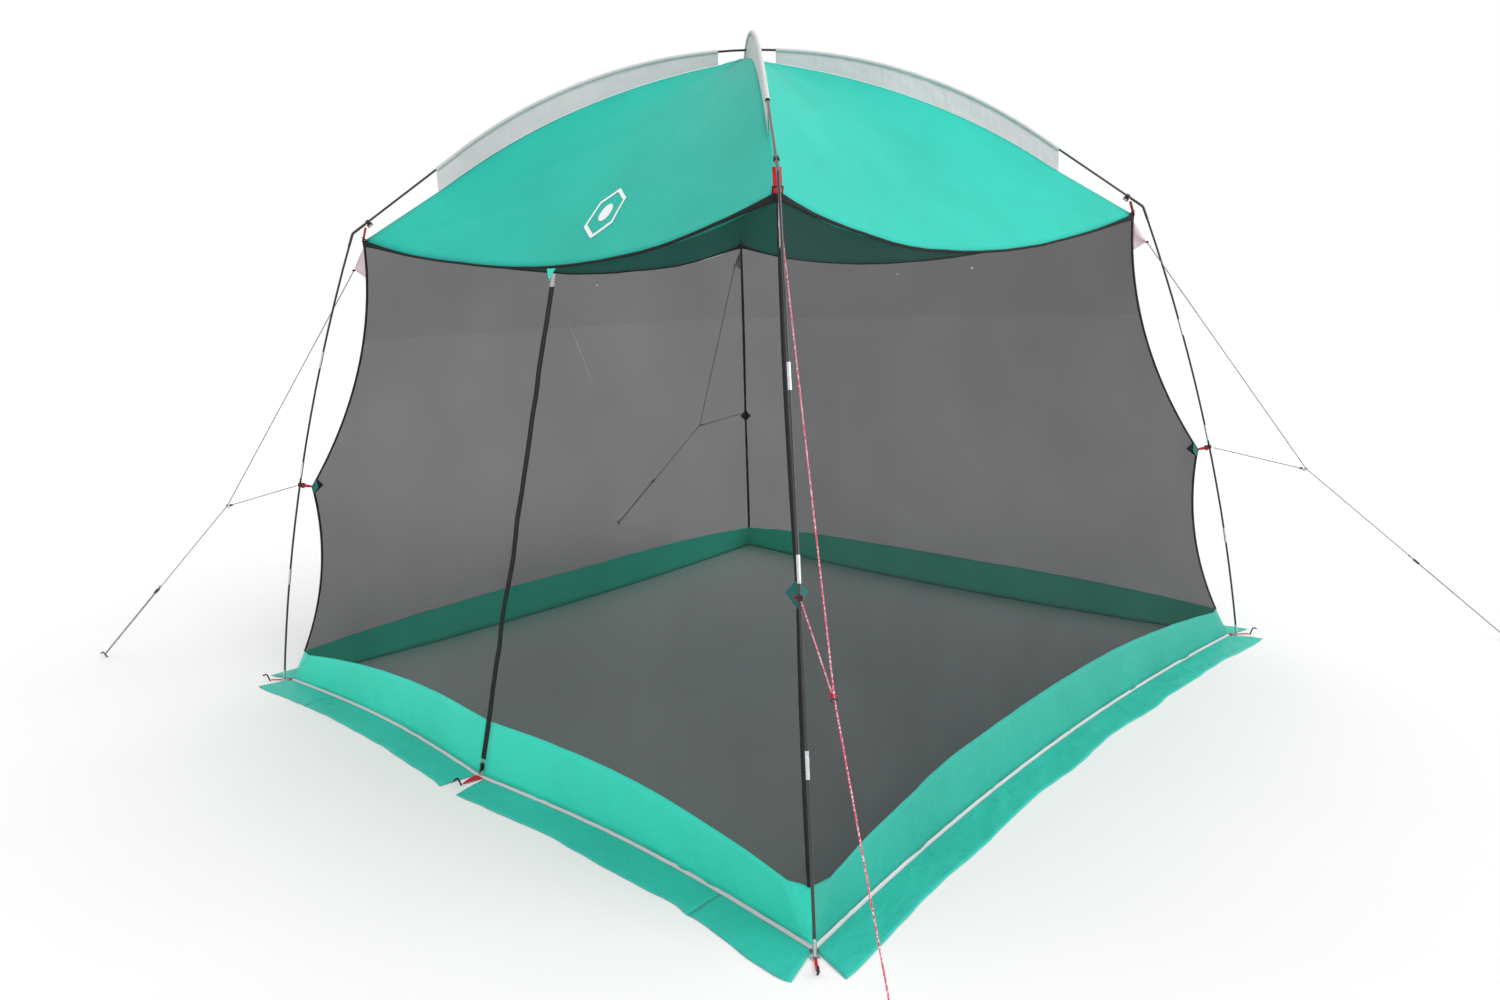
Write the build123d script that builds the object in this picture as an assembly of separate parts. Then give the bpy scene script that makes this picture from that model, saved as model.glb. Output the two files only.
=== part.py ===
from build123d import *
import math
import os

# Screen house: two fibreglass poles cross at the peak, and a canopy with mesh walls hangs inside them.
# Millimetres. +Z is up, the origin is on the ground under the peak, and the zipped wall faces -Y.

# ---- Driving dimensions: overall ----
HALF_SIDE = 1500.0              # centre to each pole foot, along a wall
APEX_HEIGHT = 2510.0            # centre line of the lower roof pole at the crossing
ROOF_RADIUS = 2100.0            # bend of the roof part of a pole
ROOF_SECTION = 487.0            # one roof pole section
OUTER_ROOF_RUN = 531.0          # straight run from the last bent roof section to the elbow's bend
KNEE_RADIUS = 25.0              # the elbow's bend
LEG_BOW = 58.0                  # how far a leg bows outward from its chord
LEG_SECTIONS = 4

# ---- Poles ----
POLE_RADIUS = 4.25
POLE_WALL = 1.45
FERRULE_WALL = 0.88
FERRULE_CLEARANCE = 0.12
FERRULE_LENGTH = 70.0
SECTION_GAP = 1.0               # between the ends of two sections inside a ferrule
ELBOW_UPPER_LENGTH = 56.0
ELBOW_LOWER_LENGTH = 46.0
ELBOW_GRIP = 18.0               # a pole inside the elbow stops this far from the bend
TIP_LENGTH = 46.0
SHOCK_CORD_RADIUS = 1.5

# ---- Feet ----
PIN_CLEARANCE = 0.3             # pin in the bore of the lowest section
PIN_LENGTH = 60.0
PIN_DISC_RADIUS = 6.5
PIN_DISC_HEIGHT = 3.5
FOOT_RING_RADIUS = 11.0
FOOT_RING_WIRE = 1.6

# ---- Canopy ----
SLEEVE_CLEARANCE = 0.35         # sleeve over a ferrule
SLEEVE_THICKNESS = 1.0
FLANGE_HEIGHT = 36.0            # pole centre line down to the canopy ridge, at the peak
FLANGE_GROWTH = 158.0           # how the flange deepens towards the sleeve's end
FLANGE_EASING = 110.0
FLANGE_THICKNESS = 1.2
FLANGE_STEPS = 16
SLEEVE_GAP = 113.0              # bare pole each side of the peak on the lower pole
SLEEVE_PAST_JOINT = 94.6        # a sleeve ends this far past the bent roof sections, level
CROSSING_NOTCH = 26.0           # half length of the opening in the upper sleeve's flange
CORNER_SETBACK = 32.0           # shoulder's bend to a canopy corner, level
CORNER_DROP = 36.0              # shoulder's bend to a canopy corner, down
HEM_SETBACK = 105.0             # the middle of a hem, in from the line between its corners
HEM_DROP = 140.0                # the middle of a hem, down from its corners
CROWN_POWER = 1.45              # shape of a panel's middle line, 1 is straight
SHEET_THICKNESS = 1.0
HEM_TAPE_DROP = 12.0

# ---- Walls ----
TIE_SETBACK = 35.0              # corner seam in from the leg, where the mid-height strap pulls it out
TIE_HEIGHT = 855.0
GROUND_SETBACK = 25.0           # corner seam at the ground, in from the pole's foot
WALL_FOOT = 4.0                 # wall's lower edge, just above the skirt
UPPER_SEAM_SAG = 62.0
LOWER_SEAM_SAG = 54.0
BAND_HEIGHT = 190.0             # mud band at the middle of a wall
BAND_CORNER_DROP = 60.0         # how much lower it is at the corners
BAND_CURVE_POWER = 3.0
FOOT_BOW = 85.0                 # how far in the middle of a plain wall's foot is drawn
SKIRT_WIDTH = 130.0
SKIRT_THICKNESS = 1.6
SKIRT_CLEARANCE = 2.0           # wall's foot to the skirt's inner edge, level
SKIRT_TIP = 40.0                # how far a skirt's pointed end runs past the corner
BINDING_WIDTH = 14.0
BINDING_THICKNESS = 1.4
PATCH_REACH = 46.0
PATCH_HALF_HEIGHT = 34.0
PATCH_THICKNESS = 0.8

# ---- Zipped door ----
DOOR_TOP_DROP = 60.0            # the hem down to where the two fold lines meet the zip
ZIP_SLOT = 10.0                 # half width left for the zip between the two door halves
FOLD_GAP = 1.5
SKIRT_SPLIT_SETBACK = 344.0     # a door half's skirt ends this far from the corner, to fold clear of the wall
SPLIT_GAP = 4.0
TAPE_EDGE = 0.8                 # each zip tape stops this far from the middle
TAPE_START = 60.0
TAPE_END_GAP = 71.0             # end of the tapes down to the end of the zip's line at the hem
TAPE_SEAM_GAP = 0.2             # tape's outer edge to the door sheet
COIL_WIDTH = 2.4
COIL_PROUD = 0.6
SLIDER_LENGTH = 26.0
SLIDER_HALF_WIDTH = 7.0
SLIDER_PLATE = 1.3
SLIDER_PARK = 33.0              # slider's middle when the door is closed, up the zip from the ground
SLIDER_STOP_GAP = 29.0          # slider's middle to the end of the zip's line, all the way up
SPINE_HALF_WIDTH = 0.4
CHANNEL_CLEARANCE = 0.5
PULL_BAR_RADIUS = 1.0
PULL_CLEARANCE = 0.1
PULL_LENGTH = 25.0
PULL_WIDTH = 8.0
PULL_THICKNESS = 1.6

# ---- Clips, webbing and guys ----
CLIP_CLEARANCE = 1.25
CLIP_WALL = 3.0
CLIP_WIDTH = 14.0
CLIP_OPENING = 70.0             # degrees of the hook that are open
CLIP_TAIL = 20.0                # pole centre to the end of the tail
TAIL_WIDTH = 22.0
TAIL_THICKNESS = 5.0
WEBBING_WIDTH = 20.0
WEBBING_THICKNESS = 1.5
TOP_CLIP_SETBACK = 14.0         # clip's middle above the elbow ferrule
MID_CLIP_HEIGHT = 865.0
ROPE_RADIUS = 1.5
RING_RADIUS = 8.0
RING_WIRE = 1.5
RING_REACH = 400.0              # leg to guy ring, level
RING_HEIGHT = 765.0
PEG_REACH = 1260.0              # leg to guy peg, level
RUNNER_LENGTH = 26.0
RUNNER_BORE_CLEARANCE = 0.2
RUNNER_PLACE = 0.55             # share of the lower rope, from the ring, where the runner sits
TAIL_PAST_RUNNER = 22.0
BRANCH_GAP = 10.0               # mid-height clip to the end of the short rope
GUY_AZIMUTHS = {"front_left": 205.0, "front_right": 320.0, "back_right": 35.0, "back_left": 180.0}
GUSSET_DROP = 25.0              # canopy corner down to the top of the gusset
GUSSET_HEIGHT = 115.0
GUSSET_TIP_DROP = 83.0          # top of the gusset down to its tip
GUSSET_LENGTH = 52.0
PEG_RADIUS = 3.0
PEG_SHOWN = 34.0                # length of peg above the ground
PEG_HOOK = 18.0
GUY_LOOP_UP_PEG = 18.0
CORNER_PEG_OUT = 62.0
CORNER_PEG_LEAN = 20.0
ZIP_PEG_OUT = 76.0

# ---- Worked out ----
ROOT2 = math.sqrt(2)
POLE_BORE_RADIUS = POLE_RADIUS - POLE_WALL
PIN_RADIUS = POLE_BORE_RADIUS - PIN_CLEARANCE
FERRULE_RADIUS = POLE_RADIUS + FERRULE_CLEARANCE + FERRULE_WALL
SLEEVE_BORE_RADIUS = FERRULE_RADIUS + SLEEVE_CLEARANCE
CLIP_BORE_RADIUS = POLE_RADIUS + CLIP_CLEARANCE
CLIP_RADIUS = CLIP_BORE_RADIUS + CLIP_WALL
CORNERS = {"front_left": 225.0, "front_right": 315.0, "back_right": 45.0, "back_left": 135.0}
POLE_PITCH = POLE_RADIUS + SLEEVE_BORE_RADIUS + SLEEVE_THICKNESS + 0.6
POLES = {"lower": (("front_left", "back_right"), 0.0), "upper": (("front_right", "back_left"), POLE_PITCH)}
LIFTS = {corner: lift for corners, lift in POLES.values() for corner in corners}
SIDES = {"front": 0.0, "right": 90.0, "back": 180.0, "left": 270.0}
ARC_LENGTH = 2.5 * ROOF_SECTION
ROOF_ANGLE = ARC_LENGTH / ROOF_RADIUS
CANOPY_APEX = APEX_HEIGHT - FLANGE_HEIGHT


# ---- Helpers ----
def add(p, q):
    return tuple(a + b for a, b in zip(p, q))


def scaled(p, k):
    return tuple(a * k for a in p)


def minus(p, q):
    return add(p, scaled(q, -1))


def length(p):
    return math.sqrt(sum(a * a for a in p))


def unit(p):
    return scaled(p, 1 / length(p))


def lerp(p, q, u):
    return add(scaled(p, 1 - u), scaled(q, u))


def turned(p, degrees):
    """A point turned about +Z."""
    a = math.radians(degrees)
    return (p[0] * math.cos(a) - p[1] * math.sin(a), p[0] * math.sin(a) + p[1] * math.cos(a), p[2])


def about_z(shape, degrees):
    return shape.rotate(Axis.Z, degrees)


def polygon(points):
    return Face(Wire.make_polygon(points, close=True))


def thin_sheet(triangles, push):
    """A closed solid from a sheet's outer triangles; push gives each outer point's inner point."""
    faces = []
    border = {}
    for triangle in triangles:
        faces.append(polygon(triangle))
        faces.append(polygon([push(p) for p in reversed(triangle)]))
        for k in range(3):
            a, b = triangle[k], triangle[(k + 1) % 3]
            if border.pop((b, a), None) is None:
                border[(a, b)] = True
    for a, b in border:
        faces.append(polygon([a, push(a), push(b)]))
        faces.append(polygon([a, push(b), b]))
    return Solid(Shell(faces))


def fan(centre, border):
    """Triangles from a middle point to each side of a closed border."""
    return [(centre, p, q) for p, q in zip(border, border[1:] + border[:1])]


def strip(first, second):
    """Triangles between two rows of points."""
    triangles = []
    for a, b, c, d in zip(first, first[1:], second, second[1:]):
        triangles += [(a, c, d), (a, d, b)]
    return triangles


def shifted(vector):
    return lambda p: add(p, vector)


def ribbon(start, end, across, thick):
    """A flat strap from start to end; across is its width vector and thick its thickness vector."""
    half = scaled(across, 0.5)
    rows = [(add(p, half), minus(p, half)) for p in (start, end)]
    return thin_sheet(strip(*rows), shifted(thick))


def rod(start, end, radius):
    """A straight round bar between two points."""
    plane = Plane(origin=start, z_dir=minus(end, start))
    return extrude(plane * Circle(radius), amount=length(minus(end, start))).solid()


def save(node, solids):
    """Writes one node. A node of several pieces is a group of separate solids."""
    solids = list(solids)
    shape = solids[0] if len(solids) == 1 else Compound(children=solids)
    export_step(shape, f"parts/{node}.step")


# ---- Pole geometry, in the vertical plane through a corner: (distance from the centre, height) ----
def arc_point(centre, radius, angle):
    return (centre[0] + radius * math.sin(angle), centre[1] + radius * math.cos(angle))


ROOF_CENTRE = (0.0, APEX_HEIGHT - ROOF_RADIUS)
ROOF_JOINT = arc_point(ROOF_CENTRE, ROOF_RADIUS, ROOF_ANGLE)
ROOF_RUN = ARC_LENGTH + OUTER_ROOF_RUN
FOOT_HEIGHT = PIN_DISC_HEIGHT + 0.6


def bowed_arc(top, foot):
    """Centre, radius, angle at the top and angle at the foot of a leg's bend."""
    chord = math.dist(top, foot)
    radius = chord * chord / (8 * LEG_BOW) + LEG_BOW / 2
    middle = ((top[0] + foot[0]) / 2, (top[1] + foot[1]) / 2)
    outward = ((top[1] - foot[1]) / chord, (foot[0] - top[0]) / chord)
    centre = (middle[0] - outward[0] * (radius - LEG_BOW), middle[1] - outward[1] * (radius - LEG_BOW))
    angles = [math.atan2(p[0] - centre[0], p[1] - centre[1]) for p in (top, foot)]
    return centre, radius, angles[0], angles[1]


def knee_and_leg(lift):
    """The elbow's bend and the leg's bend, each running smoothly into the next."""
    start = roof_point(ROOF_RUN)
    away = (KNEE_RADIUS * math.sin(ROOF_ANGLE), KNEE_RADIUS * math.cos(ROOF_ANGLE))
    centre = (start[0] - away[0], start[1] + lift - away[1])
    foot = (HALF_SIDE * ROOT2, FOOT_HEIGHT)
    turn = math.radians(80)
    for _ in range(12):
        leg = bowed_arc(arc_point(centre, KNEE_RADIUS, turn), foot)
        turn = leg[2]
    return (centre, KNEE_RADIUS, ROOF_ANGLE, turn), leg


def leg_arc(lift):
    return knee_and_leg(lift)[1]


def leg_length(lift):
    _, radius, top, foot = leg_arc(lift)
    return radius * (foot - top)


def leg_point(lift, run):
    """Point and downward direction on a leg's centre line, run below the elbow's corner."""
    centre, radius, top, _ = leg_arc(lift)
    angle = top + run / radius
    return arc_point(centre, radius, angle), (math.cos(angle), -math.sin(angle))


def leg_run_at_height(lift, height):
    centre, radius, top, _ = leg_arc(lift)
    return radius * (math.acos((height - centre[1]) / radius) - top)


def roof_point(run):
    """Point on the roof's centre line, run along it from the peak."""
    if run <= ARC_LENGTH:
        return arc_point(ROOF_CENTRE, ROOF_RADIUS, run / ROOF_RADIUS)
    rest = run - ARC_LENGTH
    return (ROOF_JOINT[0] + rest * math.cos(ROOF_ANGLE), ROOF_JOINT[1] - rest * math.sin(ROOF_ANGLE))


def arc_sweep(section, centre, radius, start, end):
    """A section, drawn about the centre line, turned along an arc of the corner plane."""
    plane = Plane(origin=(0, 0, radius), x_dir=(0, 1, 0), z_dir=(1, 0, 0))
    swept = revolve(plane * section, axis=Axis.Y, revolution_arc=math.degrees(end - start)).solid()
    return Pos(centre[0], 0, centre[1]) * swept.rotate(Axis.Y, math.degrees(start))


def tube_section(radius, bore):
    return Circle(radius) - Circle(bore)


def roof_sweep(section, start, end):
    """A section along the roof's centre line, bent part and straight part joined."""
    pieces = []
    if start < ARC_LENGTH:
        stop = min(end, ARC_LENGTH)
        pieces.append(arc_sweep(section, ROOF_CENTRE, ROOF_RADIUS, start / ROOF_RADIUS, stop / ROOF_RADIUS))
    if end > ARC_LENGTH:
        begin = max(start, ARC_LENGTH)
        point = roof_point(begin)
        along = (math.cos(ROOF_ANGLE), 0, -math.sin(ROOF_ANGLE))
        plane = Plane(origin=(point[0], 0, point[1]), x_dir=(0, 1, 0), z_dir=along)
        pieces.append(extrude(plane * section, amount=end - begin).solid())
    if len(pieces) == 1:
        return pieces[0]
    return pieces[0].fuse(pieces[1]).solid()


def leg_sweep(section, lift, start, end):
    centre, radius, top, _ = leg_arc(lift)
    return arc_sweep(section, centre, radius, top + start / radius, top + end / radius)


def pole_sweep(section, lift, roof_start, leg_end):
    """A section along the pole from a run on the roof, round the elbow, to a run down the leg."""
    (centre, radius, start, end), _ = knee_and_leg(lift)
    roof = raised(roof_sweep(section, roof_start, ROOF_RUN), lift)
    knee = arc_sweep(section, centre, radius, start, end)
    return roof.fuse(knee, leg_sweep(section, lift, 0.0, leg_end)).solid()


def raised(shape, lift):
    return Pos(0, 0, lift) * shape


def corner_place(point, corner, sideways=0.0):
    """A point of the corner plane in the part's frame."""
    return turned((point[0], sideways, point[1]), CORNERS[corner])


# ---- Sizes that follow from the poles ----
CANOPY_CORNER_REACH = (roof_point(ROOF_RUN)[0] - CORNER_SETBACK) / ROOT2
CANOPY_CORNER_HEIGHT = roof_point(ROOF_RUN)[1] - CORNER_DROP
HEM_REACH = CANOPY_CORNER_REACH - HEM_SETBACK
HEM_HEIGHT = CANOPY_CORNER_HEIGHT - HEM_DROP
DOOR_TOP = HEM_HEIGHT - DOOR_TOP_DROP
TIE_REACH = leg_point(0.0, leg_run_at_height(0.0, MID_CLIP_HEIGHT))[0][0] / ROOT2 - TIE_SETBACK
GROUND_REACH = HALF_SIDE - GROUND_SETBACK
SLEEVE_END = ROOF_JOINT[0] + SLEEVE_PAST_JOINT
GUSSET_TOP = CANOPY_CORNER_HEIGHT - GUSSET_DROP
GUSSET_BOTTOM = GUSSET_TOP - GUSSET_HEIGHT
GUSSET_TIP_HEIGHT = GUSSET_TOP - GUSSET_TIP_DROP


# ---- Poles, ferrules and feet ----
def pole_tubes(corners, lift):
    """All sections of one pole: the middle one over the peak, and the rest out to both feet."""
    section = tube_section(POLE_RADIUS, POLE_BORE_RADIUS)
    half = ROOF_SECTION / 2
    gap = SECTION_GAP / 2
    azimuth = CORNERS[corners[0]]
    turn = (half - gap) / ROOF_RADIUS
    middle = arc_sweep(section, ROOF_CENTRE, ROOF_RADIUS, -turn, turn)
    tubes = [about_z(raised(middle, lift), azimuth)]
    for corner in corners:
        for k in range(3):
            start = half + k * ROOF_SECTION + gap
            end = ROOF_RUN - ELBOW_GRIP if k == 2 else half + (k + 1) * ROOF_SECTION - gap
            tubes.append(about_z(raised(roof_sweep(section, start, end), lift), CORNERS[corner]))
        for start, end in leg_spans(lift):
            tubes.append(about_z(leg_sweep(section, lift, start, end), CORNERS[corner]))
    return tubes


def leg_joints(lift):
    """Runs below the elbow at which two leg sections meet."""
    share = (leg_length(lift) - ELBOW_LOWER_LENGTH) / LEG_SECTIONS
    return [ELBOW_LOWER_LENGTH + k * share for k in range(1, LEG_SECTIONS)]


def leg_spans(lift):
    ends = [ELBOW_GRIP - SECTION_GAP / 2] + leg_joints(lift) + [leg_length(lift) - SECTION_GAP / 2]
    return [(a + SECTION_GAP / 2, b - SECTION_GAP / 2) for a, b in zip(ends, ends[1:])]


def straight_ferrules():
    """Steel sleeves over the joints, on both poles' roofs and legs."""
    section = tube_section(FERRULE_RADIUS, POLE_RADIUS + FERRULE_CLEARANCE)
    half = FERRULE_LENGTH / 2
    ferrules = []
    for corner, lift in LIFTS.items():
        for k in range(3):
            run = (k + 0.5) * ROOF_SECTION
            ferrule = roof_sweep(section, run - half, run + half)
            ferrules.append(about_z(raised(ferrule, lift), CORNERS[corner]))
        for run in leg_joints(lift):
            ferrules.append(about_z(leg_sweep(section, lift, run - half, run + half), CORNERS[corner]))
    return ferrules


def elbow_ferrule(lift):
    """The fixed bend at the shoulder, bored through."""
    section = tube_section(FERRULE_RADIUS, POLE_RADIUS + FERRULE_CLEARANCE)
    return pole_sweep(section, lift, ROOF_RUN - ELBOW_UPPER_LENGTH, ELBOW_LOWER_LENGTH)


def foot_tip(lift):
    section = tube_section(FERRULE_RADIUS, POLE_RADIUS + FERRULE_CLEARANCE)
    end = leg_length(lift) - SECTION_GAP
    return leg_sweep(section, lift, end - TIP_LENGTH, end)


def foot_pin(lift):
    """A pin up the bore of the lowest section, on a disc that stands on the ground."""
    disc = Pos(HALF_SIDE * ROOT2, 0, PIN_DISC_HEIGHT / 2) * Cylinder(PIN_DISC_RADIUS, PIN_DISC_HEIGHT)
    total = leg_length(lift)
    shank = leg_sweep(Circle(PIN_RADIUS), lift, total - PIN_LENGTH, total + 2.0)
    return (disc + shank).solid()


def foot_ring():
    return Pos(HALF_SIDE * ROOT2, 0, FOOT_RING_WIRE) * Torus(FOOT_RING_RADIUS, FOOT_RING_WIRE)


def shock_cord(corners, lift):
    """The elastic cord through one whole pole, from pin to pin."""
    section = Circle(SHOCK_CORD_RADIUS)
    end = leg_length(lift) - PIN_LENGTH - SECTION_GAP
    half = pole_sweep(section, lift, 0.0, end)
    halves = [about_z(half, CORNERS[corner]) for corner in corners]
    return halves[0].fuse(halves[1]).solid()


# ---- Sleeves ----
def pole_height(plan):
    """Height of the lower pole's centre line over a point on the diagonal plan."""
    if plan <= ROOF_JOINT[0]:
        return ROOF_CENTRE[1] + math.sqrt(ROOF_RADIUS ** 2 - plan ** 2)
    return ROOF_JOINT[1] - (plan - ROOF_JOINT[0]) * math.tan(ROOF_ANGLE)


def pole_slope(plan):
    """How much more than its radius a pole reaches straight down, where it slopes."""
    angle = math.asin(min(plan, ROOF_JOINT[0]) / ROOF_RADIUS)
    return 1 / math.cos(angle) - 1


def ridge_height(plan):
    """Height of the canopy's ridge, hung below the pole by the flange, then straight to the corner."""
    share = min(plan / SLEEVE_END, 1.0)
    flange = FLANGE_HEIGHT + FLANGE_GROWTH * share - FLANGE_EASING * share ** 2
    hung = pole_height(min(plan, SLEEVE_END)) - flange
    if plan <= SLEEVE_END:
        return hung
    rest = (plan - SLEEVE_END) / (CANOPY_CORNER_REACH * ROOT2 - SLEEVE_END)
    return hung + rest * (CANOPY_CORNER_HEIGHT - hung)


def sleeve_end_run():
    return ARC_LENGTH + (SLEEVE_END - ROOF_JOINT[0]) / math.cos(ROOF_ANGLE)


def sleeve_half(lift, start):
    """A cloth tube round the pole with a flange down to the canopy's ridge, along the diagonal."""
    middle = SLEEVE_BORE_RADIUS + SLEEVE_THICKNESS / 2
    ring = tube_section(SLEEVE_BORE_RADIUS + SLEEVE_THICKNESS, SLEEVE_BORE_RADIUS)
    tube = roof_sweep(ring, start, sleeve_end_run())
    plans = [start + (SLEEVE_END - start) * k / FLANGE_STEPS for k in range(FLANGE_STEPS + 1)]
    side = FLANGE_THICKNESS / 2
    upper = [(p, side, pole_height(p) - middle * (1 + pole_slope(p)) + SLEEVE_THICKNESS / 4) for p in plans]
    lower = [(p, side, ridge_height(p) - lift + side) for p in plans]
    face = polygon(upper + lower[::-1])
    flange = Solid.extrude(face, Vector(0, -FLANGE_THICKNESS, 0))
    return raised(tube.fuse(flange).solid(), lift)


def short_sleeve(corner):
    return about_z(sleeve_half(0.0, SLEEVE_GAP), CORNERS[corner])


def long_sleeve():
    """One sleeve over the peak; its flange is open where the lower pole passes under it."""
    lift = POLE_PITCH
    half = sleeve_half(lift, 0.0)
    both = half + half.rotate(Axis.Z, 180)
    reach = FLANGE_HEIGHT + lift
    low = APEX_HEIGHT + lift - SLEEVE_BORE_RADIUS - SLEEVE_THICKNESS
    notch = Pos(0, 0, low - reach / 2) * Box(2 * CROSSING_NOTCH, 4 * FLANGE_THICKNESS, reach)
    return about_z((both - notch).solid(), CORNERS["front_right"])


# ---- Canopy ----
def canopy_point(across, down):
    """A point of the front panel: across from -1 to 1 between ridges, down from 0, peak, to 1, hem."""
    ridge_reach = CANOPY_CORNER_REACH * down
    middle_reach = HEM_REACH * down
    middle_height = CANOPY_APEX - (CANOPY_APEX - HEM_HEIGHT) * down ** CROWN_POWER
    bow = across * across
    return (
        across * ridge_reach,
        -(middle_reach + (ridge_reach - middle_reach) * bow),
        middle_height + (ridge_height(ridge_reach * ROOT2) - middle_height) * bow,
    )


ACROSS = [k / 4 for k in range(-4, 5)]
DOWN = [0.16, 0.32, 0.48, 0.64, SLEEVE_END / ROOT2 / CANOPY_CORNER_REACH, 1.0]


def canopy_panel():
    rows = [[canopy_point(across, down) for across in ACROSS] for down in DOWN]
    peak = canopy_point(0.0, 0.0)
    triangles = [(peak, a, b) for a, b in zip(rows[0], rows[0][1:])]
    for upper, lower in zip(rows, rows[1:]):
        triangles += strip(upper, lower)
    return thin_sheet(triangles, shifted((0, 0, -SHEET_THICKNESS)))


def hem_points(drop=0.0):
    return [add(canopy_point(across, 1.0), (0, 0, -drop)) for across in ACROSS]


def mitred(p):
    """The inner point of a wall of the front side: straight in, or along the diagonal at a corner seam."""
    if abs(abs(p[0]) - abs(p[1])) < 1e-6:
        return add(p, (-math.copysign(SHEET_THICKNESS, p[0]), SHEET_THICKNESS, 0))
    return add(p, (0, SHEET_THICKNESS, 0))


def hem_tape():
    """The black binding that hangs from one hem."""
    return thin_sheet(strip(hem_points(SHEET_THICKNESS + 0.2), hem_points(HEM_TAPE_DROP)), mitred)


# ---- Walls ----
def seam_reach(height):
    """How far out the corner seam is at a height: two hollow curves, tied out between them."""
    if height >= TIE_HEIGHT:
        share = (height - TIE_HEIGHT) / (CANOPY_CORNER_HEIGHT - TIE_HEIGHT)
        chord = TIE_REACH + share * (CANOPY_CORNER_REACH - TIE_REACH)
        return chord - 4 * UPPER_SEAM_SAG * share * (1 - share)
    share = (height - WALL_FOOT) / (TIE_HEIGHT - WALL_FOOT)
    chord = GROUND_REACH + share * (TIE_REACH - GROUND_REACH)
    return chord - 4 * LOWER_SEAM_SAG * share * (1 - share)


WALL_TOP = CANOPY_CORNER_HEIGHT - HEM_TAPE_DROP - 0.5


def seam_points():
    """The left corner seam of the front wall, from the hem tape down to the ground."""
    upper = [WALL_TOP + k / 5 * (TIE_HEIGHT - WALL_TOP) for k in range(6)]
    lower = [TIE_HEIGHT + k / 5 * (WALL_FOOT - TIE_HEIGHT) for k in range(1, 6)]
    return [(-seam_reach(z), -seam_reach(z), z) for z in upper + lower]


def sewn_reach(height):
    """How far out the sewn seam is at a height, between its points."""
    seam = seam_points()
    for upper, lower in zip(seam, seam[1:]):
        if height >= lower[2]:
            return -lerp(lower, upper, (height - lower[2]) / (upper[2] - lower[2]))[0]
    return GROUND_REACH


def middle_reach(height):
    """The middle of a wall leans straight in from the ground to the hem."""
    share = (height - WALL_FOOT) / (HEM_HEIGHT - WALL_FOOT)
    return GROUND_REACH + share * (HEM_REACH - GROUND_REACH)


def on_middle_plane(x, z):
    return (x, -middle_reach(z), z)


WALL_TOP_MIDDLE = HEM_HEIGHT - HEM_TAPE_DROP - 0.5
FOLD_TOP = on_middle_plane(-ZIP_SLOT, DOOR_TOP)
FOLD_FOOT = (-GROUND_REACH, -GROUND_REACH, WALL_FOOT)


FAN_CENTRE = add(
    scaled(on_middle_plane(-ZIP_SLOT, WALL_TOP_MIDDLE), 0.25),
    add(scaled(seam_points()[0], 0.45), scaled(FOLD_FOOT, 0.3)),
)


def side_region(inner_edge):
    """Triangles of the wall above the left fold line, out to the corner seam and up to the hem tape."""
    hem = [p for p in hem_points(HEM_TAPE_DROP + 0.5) if p[0] < -ZIP_SLOT]
    top = on_middle_plane(inner_edge, WALL_TOP_MIDDLE)
    fold_top = on_middle_plane(inner_edge, DOOR_TOP)
    return fan(FAN_CENTRE, [top] + hem[:0:-1] + seam_points() + [fold_top])


def flipped(triangles):
    """The same triangles on the other side of the zip, still facing outward."""
    return [tuple((-p[0], p[1], p[2]) for p in reversed(triangle)) for triangle in triangles]


FOOT_STEPS = [GROUND_REACH * k / 6 for k in range(-6, 7)]


def foot_line(x):
    """The foot of a wall with no door is drawn in between its pegged corners."""
    return FOOT_BOW * (1 - (x / GROUND_REACH) ** 2) - GROUND_REACH


def plain_wall():
    """A wall with no door, both sides and the flat triangle between the fold lines."""
    side = side_region(0.0)
    top = on_middle_plane(0.0, DOOR_TOP)
    foot = [(x, foot_line(x), WALL_FOOT) for x in FOOT_STEPS]
    middle = [(top, p, q) for p, q in zip(foot, foot[1:])]
    return thin_sheet(side + flipped(side) + middle, mitred)


def door_half():
    """The left half of the door: the flat sheet between the fold line, the zip and the ground."""
    fold = (FOLD_FOOT[0] - FOLD_TOP[0], FOLD_FOOT[2] - FOLD_TOP[2])
    size = math.hypot(*fold)
    shift = (-fold[1] / size * FOLD_GAP, fold[0] / size * FOLD_GAP)
    start = (FOLD_TOP[0] + shift[0], FOLD_TOP[2] + shift[1])
    slope = fold[1] / fold[0]
    top = start[1] + slope * (-ZIP_SLOT - start[0])
    left = start[0] + (WALL_FOOT - start[1]) / slope
    corners = ((-ZIP_SLOT, top), (left, WALL_FOOT), (-ZIP_SLOT, WALL_FOOT))
    return thin_sheet([tuple(on_middle_plane(*p) for p in corners)], shifted((0, SHEET_THICKNESS, 0)))


def band_top(x):
    return BAND_HEIGHT - BAND_CORNER_DROP * abs(x / GROUND_REACH) ** BAND_CURVE_POWER


def band_cutter():
    """Everything below the mud band's curved top edge, on the front side."""
    steps = [GROUND_REACH * 1.05 * k / 8 for k in range(-8, 9)]
    outline = [(x, band_top(x)) for x in steps]
    outline += [(steps[-1], -50.0), (steps[0], -50.0)]
    face = polygon([(x, -GROUND_REACH * 1.2, z) for x, z in outline])
    return Solid.extrude(face, Vector(0, GROUND_REACH * 0.7, 0))


def mirrored(shape):
    return shape.mirror(Plane.YZ)


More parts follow.
